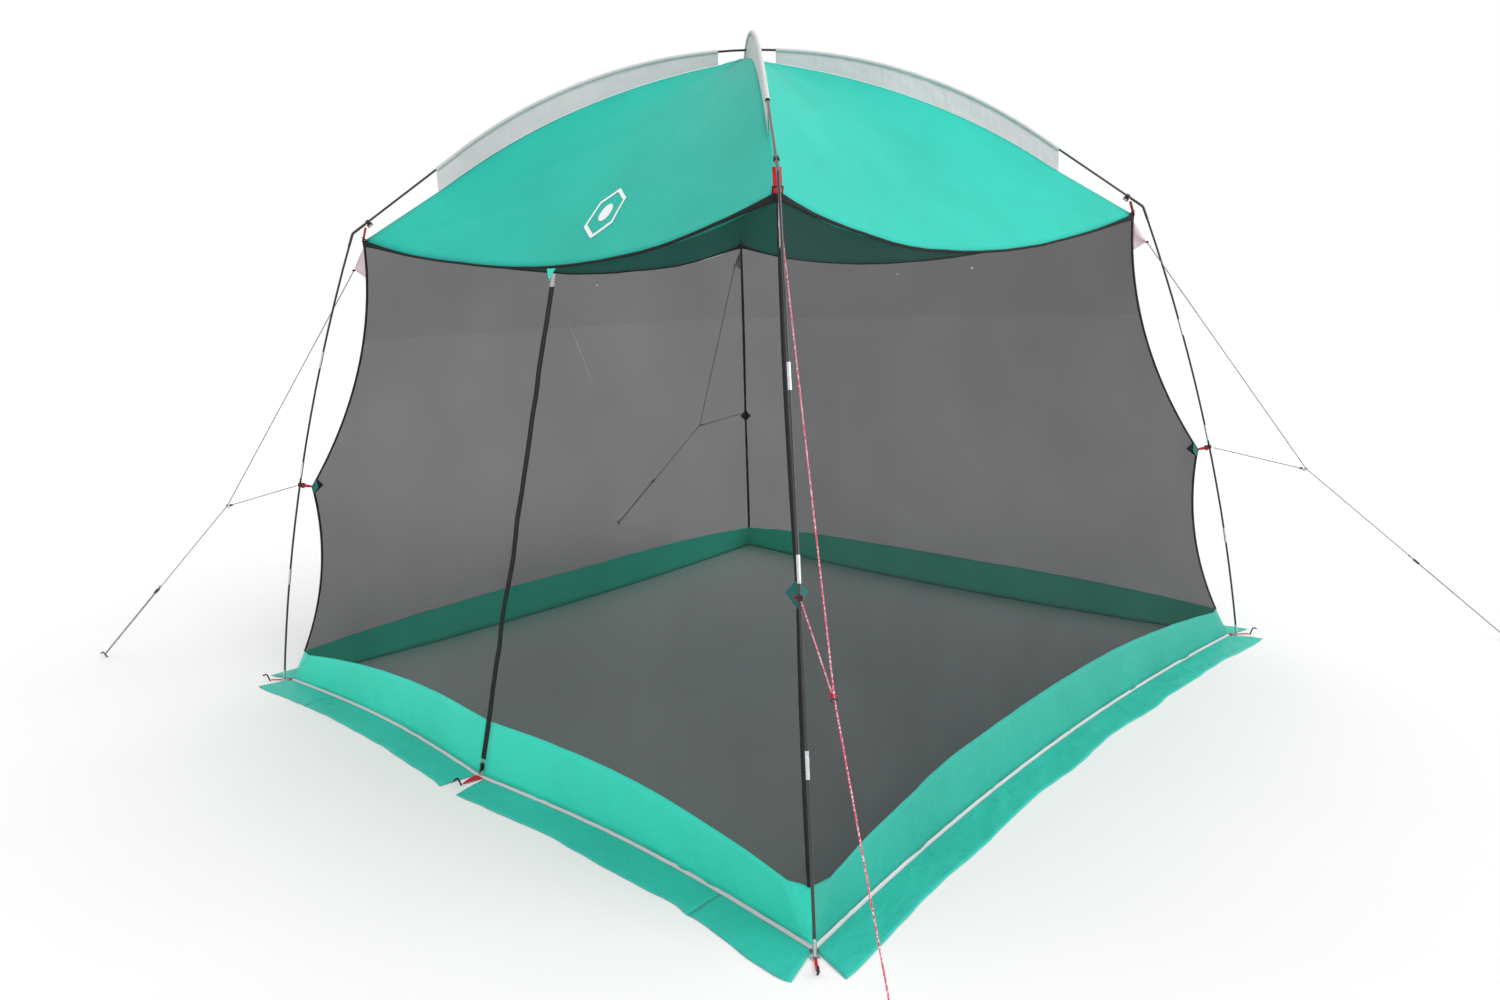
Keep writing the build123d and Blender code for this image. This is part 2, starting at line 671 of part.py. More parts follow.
def wall_pieces():
    """The front wall's fixed sides and the plain walls' sheets, each split into mesh above and band below."""
    cutter = band_cutter()
    door_side = thin_sheet(side_region(-ZIP_SLOT), mitred)
    parts = {}
    for name, sheet in (("door_side", door_side), ("plain", plain_wall()), ("half", door_half())):
        parts[name] = ((sheet - cutter).solids(), (sheet & cutter).solids())
    return parts


def skirt_piece(inner, outer):
    """A flat skirt lying on the ground: inner and outer are its edges' two end values of x."""
    near = -GROUND_REACH - SKIRT_CLEARANCE
    far = near - SKIRT_WIDTH
    outline = [(inner[0], near, 0), (outer[0], far, 0), (outer[1], far, 0), (inner[1], near, 0)]
    return Solid.extrude(polygon(outline), Vector(0, 0, SKIRT_THICKNESS))


def plain_skirt():
    """The skirt of a wall with no door, following the wall's foot."""
    near = [(x, foot_line(x) - SKIRT_CLEARANCE, 0) for x in FOOT_STEPS]
    far = [(x * (1 + SKIRT_TIP / GROUND_REACH), y - SKIRT_WIDTH, 0) for x, y, _ in near]
    return Solid.extrude(polygon(near + far[::-1]), Vector(0, 0, SKIRT_THICKNESS))


# ---- Corner pieces ----
def beside_seam(p, reach, out):
    """A point on the front wall, reach in from its left seam, moved outward by out."""
    return add(add(p, scaled(unit(minus(FAN_CENTRE, p)), reach)), (0, -out, 0))


def swapped(p):
    """The matching point on the left wall."""
    return (p[1], p[0], p[2])


def outward(thickness):
    """Pushes the points of a corner piece in by its thickness, on either wall or at the seam."""
    def push(p):
        along_x = thickness if p[0] <= p[1] + SHEET_THICKNESS else 0
        along_y = thickness if p[1] <= p[0] + SHEET_THICKNESS else 0
        return add(p, (along_x, along_y, 0))
    return push


def corner_binding():
    """Black tape over a corner seam, on the outside of both walls."""
    seam = [p for p in seam_points() if p[2] > band_top(GROUND_REACH)]
    edge = [beside_seam(p, BINDING_WIDTH / 2, BINDING_THICKNESS) for p in seam]
    middle = [add(p, (-BINDING_THICKNESS, -BINDING_THICKNESS, 0)) for p in seam]
    other = [swapped(p) for p in edge]
    return thin_sheet(strip(other, middle) + strip(middle, edge), outward(BINDING_THICKNESS - 0.4))


def corner_patch():
    """The folded patch over a corner seam where the mid-height strap pulls."""
    out = BINDING_THICKNESS + PATCH_THICKNESS + 1.4
    seam = seam_points()
    tie = min(range(len(seam)), key=lambda k: abs(seam[k][2] - TIE_HEIGHT))
    reach = [PATCH_HALF_HEIGHT / length(minus(seam[k], seam[tie])) for k in (tie - 1, tie + 1)]
    ends = [lerp(seam[tie], seam[k], u) for k, u in zip((tie - 1, tie + 1), reach)]
    tip, upper, lower = [add(p, (-out, -out, 0)) for p in (seam[tie], *ends)]
    wing = beside_seam(seam[tie], PATCH_REACH, out)
    return thin_sheet(fan(tip, [upper, swapped(wing), lower, wing]), outward(PATCH_THICKNESS))


def clip(point, along, down):
    """A hook round the pole with a slotted tail. down points from the pole towards the strap."""
    hook = Circle(CLIP_RADIUS) - Circle(CLIP_BORE_RADIUS)
    half = math.radians(CLIP_OPENING / 2)
    far = 3 * CLIP_RADIUS
    mouth = Polygon((0, 0), (far * math.sin(half), far), (-far * math.sin(half), far), align=None)
    tail_top = CLIP_BORE_RADIUS + 1.5
    tail = Pos(0, -(CLIP_TAIL + tail_top) / 2) * Rectangle(TAIL_THICKNESS, CLIP_TAIL - tail_top)
    plane = Plane(origin=point, x_dir=Vector(along).cross(Vector(down)), z_dir=along)
    solid = extrude(plane * (hook - mouth), amount=CLIP_WIDTH / 2, both=True)
    solid += extrude(plane * tail, amount=TAIL_WIDTH / 2, both=True)
    slot = Pos(0, -(CLIP_TAIL - 4.0)) * Rectangle(3 * TAIL_THICKNESS, 3.0)
    solid -= extrude(plane * slot, amount=(TAIL_WIDTH - 5.0) / 2, both=True)
    return solid.solid()


def top_clip_point(lift):
    run = ROOF_RUN - ELBOW_UPPER_LENGTH - TOP_CLIP_SETBACK
    point = roof_point(run)
    return (point[0], 0.0, point[1] + lift)


def mid_clip_point(lift):
    point, along = leg_point(lift, leg_run_at_height(lift, MID_CLIP_HEIGHT))
    return (point[0], 0.0, point[1]), (along[0], 0.0, along[1])


def square_to(direction, along):
    """The part of a direction that is square to along."""
    share = sum(a * b for a, b in zip(direction, along))
    return unit(minus(direction, scaled(along, share)))


def clips_and_straps(lift):
    """Both clips of a corner and the red straps from them to the canopy corner and the seam."""
    straps = []
    clips = []
    along = (math.cos(ROOF_ANGLE), 0.0, -math.sin(ROOF_ANGLE))
    across = (0.0, WEBBING_WIDTH, 0.0)
    point = top_clip_point(lift)
    corner = (CANOPY_CORNER_REACH * ROOT2, 0.0, CANOPY_CORNER_HEIGHT)
    down = square_to(minus(corner, point), along)
    clips.append(clip(point, along, down))
    start = add(point, scaled(down, CLIP_TAIL + 0.5))
    end = add(corner, (1.5, 0, 6.0))
    straps.append(ribbon(start, end, across, (WEBBING_THICKNESS, 0, 0)))
    point, along = mid_clip_point(lift)
    seam = ((TIE_REACH + BINDING_THICKNESS + 0.6) * ROOT2, 0.0, TIE_HEIGHT)
    down = square_to(minus(seam, point), along)
    clips.append(clip(point, along, down))
    start = add(point, scaled(down, CLIP_TAIL + 0.5))
    end = add(seam, (4.0, 0, 0))
    straps.append(ribbon(start, end, across, (0, 0, WEBBING_THICKNESS)))
    return clips, straps


# ---- Ground webbing and pegs ----
def peg(ground, lean_azimuth, lean):
    """A hooked peg from the ground up, leaning away from the tent."""
    tilt = math.radians(lean)
    axis = (math.sin(tilt), 0, math.cos(tilt))
    below = scaled(axis, -3 * PEG_RADIUS)
    top = scaled(axis, PEG_SHOWN)
    end = add(top, (math.cos(tilt) * PEG_HOOK, 0, -math.sin(tilt) * PEG_HOOK))
    route = FilletPolyline(below, top, end, radius=2 * PEG_RADIUS)
    bar = sweep(Plane(origin=below, z_dir=axis) * Circle(PEG_RADIUS), path=route)
    ground_box = Pos(0, 0, -PEG_SHOWN) * Box(4 * PEG_SHOWN, 4 * PEG_SHOWN, 2 * PEG_SHOWN)
    return Pos(*ground) * about_z((bar - ground_box).solid(), lean_azimuth)


def corner_peg_place():
    return HALF_SIDE * ROOT2 + CORNER_PEG_OUT


def corner_webbing():
    """Webbing in the corner plane: a triangle from the seam to the foot ring, and a loop on to the peg."""
    lift = 3.6
    thick = (0, 0, WEBBING_THICKNESS)
    foot = HALF_SIDE * ROOT2
    seam = GROUND_REACH * ROOT2 + 3.0
    inner_end = foot - FOOT_RING_RADIUS + FOOT_RING_WIRE - 1.0
    base = [(seam, side * WEBBING_WIDTH / 2, lift) for side in (-1, 1)]
    point = [(inner_end, side * 2.0, lift) for side in (-1, 1)]
    inner = thin_sheet(strip(base, point), shifted(thick))
    outer_start = (foot + FOOT_RING_RADIUS - FOOT_RING_WIRE + 1.0, 0, lift)
    outer_end = (corner_peg_place() - PEG_RADIUS - 1.5, 0, lift)
    return [inner, ribbon(outer_start, outer_end, (0, 8.0, 0), thick)]


def zip_webbing():
    """The webbing triangle at the zip's foot, pegged down in the gap between the two skirts."""
    lift = 1.0
    near = -GROUND_REACH - 3.0
    far = -GROUND_REACH - ZIP_PEG_OUT + PEG_RADIUS + 2.0
    base = [(side * WEBBING_WIDTH, near, lift) for side in (-1, 1)]
    point = [(side * 3.0, far, lift) for side in (-1, 1)]
    return thin_sheet(strip(base, point), shifted((0, 0, WEBBING_THICKNESS)))


# ---- Guys ----
def leg_outer_point(corner):
    point, _ = mid_clip_point(LIFTS[corner])
    return corner_place((point[0], point[2]), corner)


def guy_layout(corner):
    """The points that a corner's guy is laid out by, and its level outward direction."""
    azimuth = GUY_AZIMUTHS[corner]
    out = turned((1, 0, 0), azimuth)
    leg = leg_outer_point(corner)
    seam = sewn_reach(GUSSET_TIP_HEIGHT) * ROOT2
    base = corner_place((seam, GUSSET_TIP_HEIGHT), corner)
    tip = add(base, scaled(out, GUSSET_LENGTH))
    bend = add((leg[0], leg[1], RING_HEIGHT), scaled(out, RING_REACH))
    ground = add((leg[0], leg[1], 0.0), scaled(out, PEG_REACH))
    return {"out": out, "azimuth": azimuth, "leg": leg, "tip": tip, "bend": bend, "ground": ground}


def guy_line(corner):
    """The lower run of a guy: its peg, and the two side by side strands between peg and runner."""
    g = guy_layout(corner)
    reach = PEG_REACH - RING_REACH
    slope = math.atan2(RING_HEIGHT - GUY_LOOP_UP_PEG, reach)
    peg_axis = add(scaled(g["out"], math.sin(slope)), (0, 0, math.cos(slope)))
    loop = add(g["ground"], scaled(peg_axis, GUY_LOOP_UP_PEG))
    side = turned((0, 1, 0), g["azimuth"])
    offset = PEG_RADIUS + ROPE_RADIUS + 0.1
    main_foot = minus(loop, scaled(side, offset))
    return_foot = add(loop, scaled(side, offset))
    up = unit(minus(g["bend"], main_foot))
    run = length(minus(g["bend"], main_foot))
    runner_place = add(main_foot, scaled(up, run * (1 - RUNNER_PLACE)))
    return {
        "lean": math.degrees(slope), "up": up, "side": side, "offset": offset,
        "main_foot": main_foot, "return_foot": return_foot, "runner": runner_place,
    }


def rope_along(points, radii):
    """A rope of straight runs joined by arcs."""
    path = FilletPolyline(*points, radius=radii)
    start = Plane(origin=points[0], z_dir=minus(points[1], points[0]))
    rope = sweep(start * Circle(ROPE_RADIUS), path=path).solid()
    share = rope.volume / (math.pi * ROPE_RADIUS ** 2 * path.length)
    print(f"rope {path.length:.0f} mm long, radii {radii}, volume over section times length {share:.4f}")
    return rope


def main_rope(corner):
    """From the gusset, through the ring, round the peg and back up to its knot above the runner."""
    g = guy_layout(corner)
    line = guy_line(corner)
    start = add(g["tip"], scaled(unit(minus(g["bend"], g["tip"])), 2.0))
    past = scaled(line["up"], -(line["offset"]))
    turn = line["offset"] - 0.05
    back = add(line["runner"], scaled(line["side"], 2 * line["offset"]))
    end = add(back, scaled(line["up"], RUNNER_LENGTH / 2 + TAIL_PAST_RUNNER))
    points = [start, g["bend"], add(line["main_foot"], past), add(line["return_foot"], past), end]
    return rope_along(points, [RING_RADIUS, turn, turn])


def ring_place(corner):
    """The ring rides on the main rope where it bends, pulled in towards the leg."""
    g = guy_layout(corner)
    line = guy_line(corner)
    upper = unit(minus(g["tip"], g["bend"]))
    through = unit(minus(upper, scaled(line["up"], -1.0)))
    hole = RING_RADIUS - RING_WIRE - ROPE_RADIUS - 0.4
    lever = unit(minus(g["leg"], g["bend"]))
    centre = add(g["bend"], scaled(square_to(lever, through), hole))
    return centre, through, lever


def guy_ring(corner):
    centre, through, _ = ring_place(corner)
    return Plane(origin=centre, z_dir=through) * Torus(RING_RADIUS, RING_WIRE)


def branch_rope(corner):
    """The short rope from the mid-height clip to the ring."""
    g = guy_layout(corner)
    centre, _, lever = ring_place(corner)
    start = minus(g["leg"], scaled(lever, CLIP_RADIUS + BRANCH_GAP))
    end = add(centre, scaled(unit(minus(start, centre)), RING_RADIUS + RING_WIRE + 0.8))
    return rod(start, end, ROPE_RADIUS)


def runner(corner):
    """A plastic runner with one bore for each strand."""
    line = guy_line(corner)
    middle = add(line["runner"], scaled(line["side"], line["offset"]))
    plane = Plane(origin=middle, x_dir=line["side"], z_dir=line["up"])
    spread = line["offset"]
    outline = SlotOverall(2 * spread + 10.0, 9.0)
    bore = ROPE_RADIUS + RUNNER_BORE_CLEARANCE
    outline -= Pos(spread, 0) * Circle(bore) + Pos(-spread, 0) * Circle(bore)
    return extrude(plane * outline, amount=RUNNER_LENGTH / 2, both=True).solid()


def gusset(corner):
    """The light triangle that carries the main rope, sewn along the corner seam."""
    g = guy_layout(corner)
    out = g["out"]
    rows = []
    for height in (GUSSET_TOP, GUSSET_BOTTOM):
        base = corner_place((sewn_reach(height) * ROOT2, height), corner)
        rows.append(add(base, scaled(out, 4.0)))
    side = turned((0, SHEET_THICKNESS / 2, 0), g["azimuth"])
    points = tuple(minus(p, side) for p in (rows[0], rows[1], g["tip"]))
    return thin_sheet([points], shifted(scaled(side, 2)))


# ---- Zip ----
ZIP_LEAN = math.atan2(GROUND_REACH - HEM_REACH, HEM_HEIGHT - WALL_FOOT)
ZIP_LINE = math.dist((GROUND_REACH, WALL_FOOT), (HEM_REACH, HEM_HEIGHT))
ZIP_UP = (0.0, math.sin(ZIP_LEAN), math.cos(ZIP_LEAN))
ZIP_OUT = (0.0, -math.cos(ZIP_LEAN), math.sin(ZIP_LEAN))
ZIP_PLANE = Plane(origin=(0, -GROUND_REACH, WALL_FOOT), x_dir=(1, 0, 0), z_dir=ZIP_OUT)
TAPE_MIDDLE = -SHEET_THICKNESS / 2


def zip_block(x, y, z):
    """A block in the zip's own frame: x across, y up the zip, z outward, each a low and a high value."""
    size = [b - a for a, b in (x, y, z)]
    centre = [(a + b) / 2 for a, b in (x, y, z)]
    return ZIP_PLANE * (Pos(*centre) * Box(*size))


def zip_tape():
    """The left tape with its coil, sewn to the left door half."""
    run = (TAPE_START, ZIP_LINE - TAPE_END_GAP)
    tape = zip_block((TAPE_SEAM_GAP - ZIP_SLOT, -TAPE_EDGE), run, (-SHEET_THICKNESS, 0.0))
    coil_low = 2 * TAPE_MIDDLE - COIL_PROUD
    coil = zip_block((-TAPE_EDGE - COIL_WIDTH, -TAPE_EDGE), run, (coil_low, COIL_PROUD))
    return (tape + coil).solid()


def zip_slider():
    """Two plates, the spine between the tapes, and the bar that the pull turns on."""
    low, high = SLIDER_PARK - SLIDER_LENGTH / 2, SLIDER_PARK + SLIDER_LENGTH / 2
    front = COIL_PROUD + CHANNEL_CLEARANCE
    back = 2 * TAPE_MIDDLE - front
    wide = (-SLIDER_HALF_WIDTH, SLIDER_HALF_WIDTH)
    body = zip_block(wide, (low, high), (front, front + SLIDER_PLATE))
    body += zip_block(wide, (low, high), (back - SLIDER_PLATE, back))
    body += zip_block((-SPINE_HALF_WIDTH, SPINE_HALF_WIDTH), (low, high), (back, front))
    bar_out = pull_bar()[1]
    for side in (-1, 1):
        edge = side * (PULL_WIDTH / 2 + 0.5)
        cheek = sorted((edge, edge + side * 1.4))
        height = (pull_bar()[0] - 1.8, pull_bar()[0] + 1.8)
        body += zip_block(cheek, height, (front + SLIDER_PLATE, bar_out + 1.8))
    bar = ZIP_PLANE * (Pos(0, *pull_bar()) * Rot(0, 90, 0) * Cylinder(PULL_BAR_RADIUS, PULL_WIDTH + 3.0))
    return (body + bar).solid()


def pull_bar():
    """Where the pull turns, in the zip's frame: up the zip and outward."""
    return SLIDER_PARK + 6.0, COIL_PROUD + CHANNEL_CLEARANCE + SLIDER_PLATE + 2.6


def zip_pull():
    """A flat tab that hangs down the zip from its bar."""
    up, out = pull_bar()
    half = PULL_WIDTH / 2
    eye = Pos(0, up, out) * Rot(0, 90, 0) * Cylinder(PULL_BAR_RADIUS + 0.9, PULL_WIDTH)
    thick = PULL_THICKNESS / 2
    tab = Pos(0, up - PULL_LENGTH / 2 - 0.5, out) * Box(2 * half, PULL_LENGTH, 2 * thick)
    bore = Pos(0, up, out) * Rot(0, 90, 0) * Cylinder(PULL_BAR_RADIUS + PULL_CLEARANCE, 2 * PULL_WIDTH)
    return (ZIP_PLANE * (eye + tab - bore)).solid()


def zip_tab():
    """The small green triangle at the top of the zip, standing clear of the slider."""
    top = (HEM_HEIGHT - HEM_TAPE_DROP - WALL_FOOT) / math.cos(ZIP_LEAN)
    out = pull_bar()[1] + 5.0
    points = [(-23.0, top, out), (0.0, top - 40.0, out), (23.0, top, out)]
    face = ZIP_PLANE * polygon(points)
    return Solid.extrude(face, Vector(*scaled(ZIP_OUT, SHEET_THICKNESS)))


# ---- Every node ----
def write_frame():
    for name, (corners, lift) in POLES.items():
        save(f"pole_tubes_{name}", pole_tubes(corners, lift))
        save(f"shock_cord_{name}", [shock_cord(corners, lift)])
    save("straight_ferrules", straight_ferrules())
    save("elbow_ferrules", [about_z(elbow_ferrule(lift), CORNERS[c]) for c, lift in LIFTS.items()])
    save("foot_tips", [about_z(foot_tip(lift), CORNERS[c]) for c, lift in LIFTS.items()])
    save("foot_pins", [about_z(foot_pin(lift), CORNERS[c]) for c, lift in LIFTS.items()])
    save("foot_rings", [about_z(foot_ring(), azimuth) for azimuth in CORNERS.values()])


def write_canopy():
    panel = canopy_panel()
    tape = hem_tape()
    for side, angle in SIDES.items():
        save(f"canopy_{side}", [about_z(panel, angle)])
    save("sleeve_long", [long_sleeve()])
    save("sleeves_short", [short_sleeve(corner) for corner in POLES["lower"][0]])
    binding = corner_binding()
    tapes = [about_z(tape, angle) for angle in SIDES.values()]
    bindings = [about_z(binding, angle) for angle in SIDES.values()]
    save("hem_tapes", tapes)
    save("corner_bindings", bindings)
    save("corner_patches", [about_z(corner_patch(), angle) for angle in SIDES.values()])


def write_walls():
    parts = wall_pieces()
    for index, kind in enumerate(("mesh", "mud_band")):
        sides = parts["door_side"][index]
        save(f"{kind}_front_sides", list(sides) + [mirrored(s) for s in sides])
        half = parts["half"][index][0]
        save(f"{kind}_door_left", [half])
        save(f"{kind}_door_right", [mirrored(half)])
        for side in ("right", "back", "left"):
            save(f"{kind}_{side}", [about_z(s, SIDES[side]) for s in parts["plain"][index]])
    reach = GROUND_REACH
    plain = plain_skirt()
    for side in ("right", "back", "left"):
        save(f"skirt_{side}", [about_z(plain, SIDES[side])])
    split = SKIRT_SPLIT_SETBACK - reach
    corner = skirt_piece((-reach, split - SPLIT_GAP), (-reach - SKIRT_TIP, split - SPLIT_GAP))
    half = skirt_piece((split, -WEBBING_WIDTH - 4.0), (split, -WEBBING_WIDTH - 12.0))
    save("skirt_front_corners", [corner, mirrored(corner)])
    save("skirt_door_left", [half])
    save("skirt_door_right", [mirrored(half)])


def write_fixings():
    clips = []
    straps = []
    webbing = [zip_webbing()]
    pegs = [peg((0, -GROUND_REACH - ZIP_PEG_OUT, 0), 270.0, CORNER_PEG_LEAN)]
    for corner, lift in LIFTS.items():
        azimuth = CORNERS[corner]
        more_clips, more_straps = clips_and_straps(lift)
        clips += [about_z(c, azimuth) for c in more_clips]
        straps += [about_z(s, azimuth) for s in more_straps]
        webbing += [about_z(w, azimuth) for w in corner_webbing()]
        pegs.append(peg(turned((corner_peg_place(), 0, 0), azimuth), azimuth, CORNER_PEG_LEAN))
    save("pole_clips", clips)
    save("corner_straps", straps)
    save("ground_webbing", webbing)
    save("ground_pegs", pegs)


def write_door():
    tape = zip_tape()
    save("zip_tape_left", [tape])
    save("zip_tape_right", [mirrored(tape)])
    save("zip_slider", [zip_slider()])
    save("zip_pull", [zip_pull()])
    save("zip_tab", [zip_tab()])
    travel = scaled(ZIP_UP, ZIP_LINE - SLIDER_STOP_GAP - SLIDER_PARK)
    fold = unit(minus(FOLD_TOP, FOLD_FOOT))
    pivot = ZIP_PLANE.from_local_coords((0, *pull_bar()))
    print("door fold at", FOLD_TOP, "along", fold)
    print("slider along", ZIP_UP, "travel", length(travel), "pull pivot", pivot)


def write_guys():
    pegs = []
    rings = []
    gussets = []
    for corner in CORNERS:
        g = guy_layout(corner)
        line = guy_line(corner)
        save(f"guy_rope_{corner}", [main_rope(corner)])
        save(f"guy_branch_{corner}", [branch_rope(corner)])
        save(f"guy_runner_{corner}", [runner(corner)])
        pegs.append(peg(g["ground"], g["azimuth"], line["lean"]))
        rings.append(guy_ring(corner))
        gussets.append(gusset(corner))
        print("runner", corner, "slides along", line["up"])
    save("guy_pegs", pegs)
    save("guy_rings", rings)
    save("guy_gussets", gussets)


os.makedirs("parts", exist_ok=True)
write_frame()
write_canopy()
write_walls()
write_fixings()
write_door()
write_guys()
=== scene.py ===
import math

import bpy
import numpy as np
from mathutils import Matrix, Vector, noise


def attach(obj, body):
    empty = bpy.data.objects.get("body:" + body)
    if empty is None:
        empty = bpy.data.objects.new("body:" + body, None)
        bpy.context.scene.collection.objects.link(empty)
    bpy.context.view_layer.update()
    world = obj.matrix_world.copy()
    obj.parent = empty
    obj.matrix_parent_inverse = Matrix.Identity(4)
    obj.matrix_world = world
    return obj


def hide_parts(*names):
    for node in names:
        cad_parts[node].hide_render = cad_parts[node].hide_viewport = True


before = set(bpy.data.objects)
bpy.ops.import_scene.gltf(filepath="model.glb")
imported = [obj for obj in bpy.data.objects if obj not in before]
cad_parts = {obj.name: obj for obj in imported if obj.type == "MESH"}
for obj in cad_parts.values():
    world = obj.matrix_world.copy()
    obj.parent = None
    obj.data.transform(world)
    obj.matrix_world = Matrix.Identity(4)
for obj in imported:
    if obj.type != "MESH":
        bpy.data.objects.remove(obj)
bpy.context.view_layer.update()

# ---- Sizes of the screen house, in metres, as in the CAD ----
APEX = 2.474
HEM_REACH, HEM_HEIGHT, HEM_DROP = 1.0, 1.7, 0.012
CORNER_REACH, CORNER_HEIGHT = 1.105, 1.84
TIE_REACH, TIE_HEIGHT = 1.338, 0.855
GROUND_REACH, FOOT = 1.475, 0.004
DOOR_TOP, SLOT = 1.64, 0.010
ROOF_RADIUS, ROOF_ANGLE = 2.1, 0.57976
FLANGE, FLANGE_GROWTH, FLANGE_EASING = 0.036, 0.158, 0.110
FOOT_BOW, DOOR_BOW = 0.085, 0.042
SLEEVE_END, SLEEVE_GAP, PITCH = 1.245, 0.113, 0.01145
SLEEVE_RADIUS = 0.0066
SKIRT_NEAR, SKIRT_FAR, SKIRT_TIP = 1.477, 1.607, 0.040
SKIRT_SPLIT = 1.131
SIDES = {"front": 0, "right": 90, "back": 180, "left": 270}
CORNERS = {"front_left": 0, "front_right": 90, "back_right": 180, "back_left": 270}


# ---- Camera ----
def make_camera():
    yaw, pitch, roll = (math.radians(a) for a in (-43.203, -12.884, -2.093))
    forward = Vector((math.sin(yaw) * math.cos(pitch), math.cos(yaw) * math.cos(pitch), math.sin(pitch)))
    level = Vector((math.cos(yaw), -math.sin(yaw), 0))
    upright = level.cross(forward)
    right = level * math.cos(roll) + upright * math.sin(roll)
    up = upright * math.cos(roll) - level * math.sin(roll)
    data = bpy.data.cameras.new("camera")
    data.sensor_width = 36
    data.lens = 24.75
    data.shift_x = -0.0004
    data.shift_y = 0.0163
    data.clip_end = 100
    camera = bpy.data.objects.new("camera", data)
    bpy.context.collection.objects.link(camera)
    turn = Matrix((right, up, -forward)).transposed().to_4x4()
    camera.matrix_world = Matrix.Translation((2.934, -3.2007, 1.602)) @ turn
    bpy.context.scene.camera = camera


# ---- Materials ----
class Nodes:
    """A material's node tree, with short calls to add and join nodes."""

    def __init__(self, name):
        self.material = bpy.data.materials.new(name)
        self.material.use_nodes = True
        self.tree = self.material.node_tree
        self.tree.nodes.clear()
        self.out = self.add("ShaderNodeOutputMaterial")
        self.place = self.add("ShaderNodeTexCoord").outputs["Object"]

    def add(self, kind, **inputs):
        node = self.tree.nodes.new(kind)
        for key, value in inputs.items():
            socket = node.inputs[key.replace("_", " ")]
            if isinstance(value, bpy.types.NodeSocket):
                self.join(value, socket)
            else:
                socket.default_value = value
        return node

    def join(self, source, target):
        self.tree.links.new(source, target)

    def noise(self, scale, detail=3.0, stretch=None):
        place = self.place
        if stretch:
            mapping = self.add("ShaderNodeMapping", Vector=place)
            mapping.inputs["Scale"].default_value = stretch
            place = mapping.outputs[0]
        return self.add("ShaderNodeTexNoise", Vector=place, Scale=scale, Detail=detail).outputs["Fac"]

    def ramp(self, value, stops):
        node = self.add("ShaderNodeValToRGB", Fac=value)
        elements = node.color_ramp.elements
        while len(elements) < len(stops):
            elements.new(0.5)
        for element, (position, color) in zip(elements, stops):
            element.position = position
            element.color = (*color, 1)
        return node.outputs["Color"]

    def weave(self, pitch):
        """Height of a plain weave: two crossed rows of threads, pitch metres apart."""
        split = self.add("ShaderNodeSeparateXYZ", Vector=self.place)
        rows = []
        for axes in (("X", "Y"), ("Z", "Y")):
            total = self.add("ShaderNodeMath")
            total.operation = "ADD"
            for k, axis in enumerate(axes):
                self.join(split.outputs[axis], total.inputs[k])
            scaled = self.add("ShaderNodeMath")
            scaled.operation = "MULTIPLY"
            self.join(total.outputs[0], scaled.inputs[0])
            scaled.inputs[1].default_value = 2 * math.pi / pitch
            wave = self.add("ShaderNodeMath")
            wave.operation = "SINE"
            self.join(scaled.outputs[0], wave.inputs[0])
            rows.append(wave.outputs[0])
        both = self.add("ShaderNodeMath")
        both.operation = "MULTIPLY"
        self.join(rows[0], both.inputs[0])
        self.join(rows[1], both.inputs[1])
        return both.outputs[0]

    def bump(self, height, strength, distance):
        return self.add("ShaderNodeBump", Height=height, Strength=strength, Distance=distance).outputs[0]

    def finish(self, shader):
        self.join(shader, self.out.inputs["Surface"])
        return self.material


def shade(color, k):
    return tuple(min(1.0, c * k) for c in color)


def cloth(name, color, rough=0.62, pitch=0.0016, sheen=0.02, contrast=0.06, bump=0.15, crease=0.0, through=0.0):
    """Woven cloth. Part of the light that falls on its far side, the share named through, shines through it."""
    n = Nodes(name)
    tint = n.ramp(n.noise(3.0), [(0.3, shade(color, 1 - contrast)), (0.7, shade(color, 1 + contrast))])
    normal = n.bump(n.weave(pitch), bump, 0.0003)
    if crease:
        folds = n.ramp(n.noise(7.0, 5.0, (1.0, 1.0, 0.45)), [(0.35, (0, 0, 0)), (0.5, (1, 1, 1)), (0.65, (0.2, 0.2, 0.2))])
        normal = n.add("ShaderNodeBump", Height=folds, Strength=crease, Distance=0.006, Normal=normal).outputs[0]
    bsdf = n.add("ShaderNodeBsdfPrincipled", Roughness=rough, Normal=normal)
    n.join(tint, bsdf.inputs["Base Color"])
    bsdf.inputs["Sheen Weight"].default_value = sheen
    bsdf.inputs["Sheen Roughness"].default_value = 0.4
    bsdf.inputs["Specular IOR Level"].default_value = 0.25
    if not through:
        return n.finish(bsdf.outputs[0])
    glow = n.add("ShaderNodeBsdfTranslucent", Color=(*shade(color, through), 1.0))
    both = n.add("ShaderNodeAddShader")
    n.join(bsdf.outputs[0], both.inputs[0])
    n.join(glow.outputs[0], both.inputs[1])
    return n.finish(both.outputs[0])


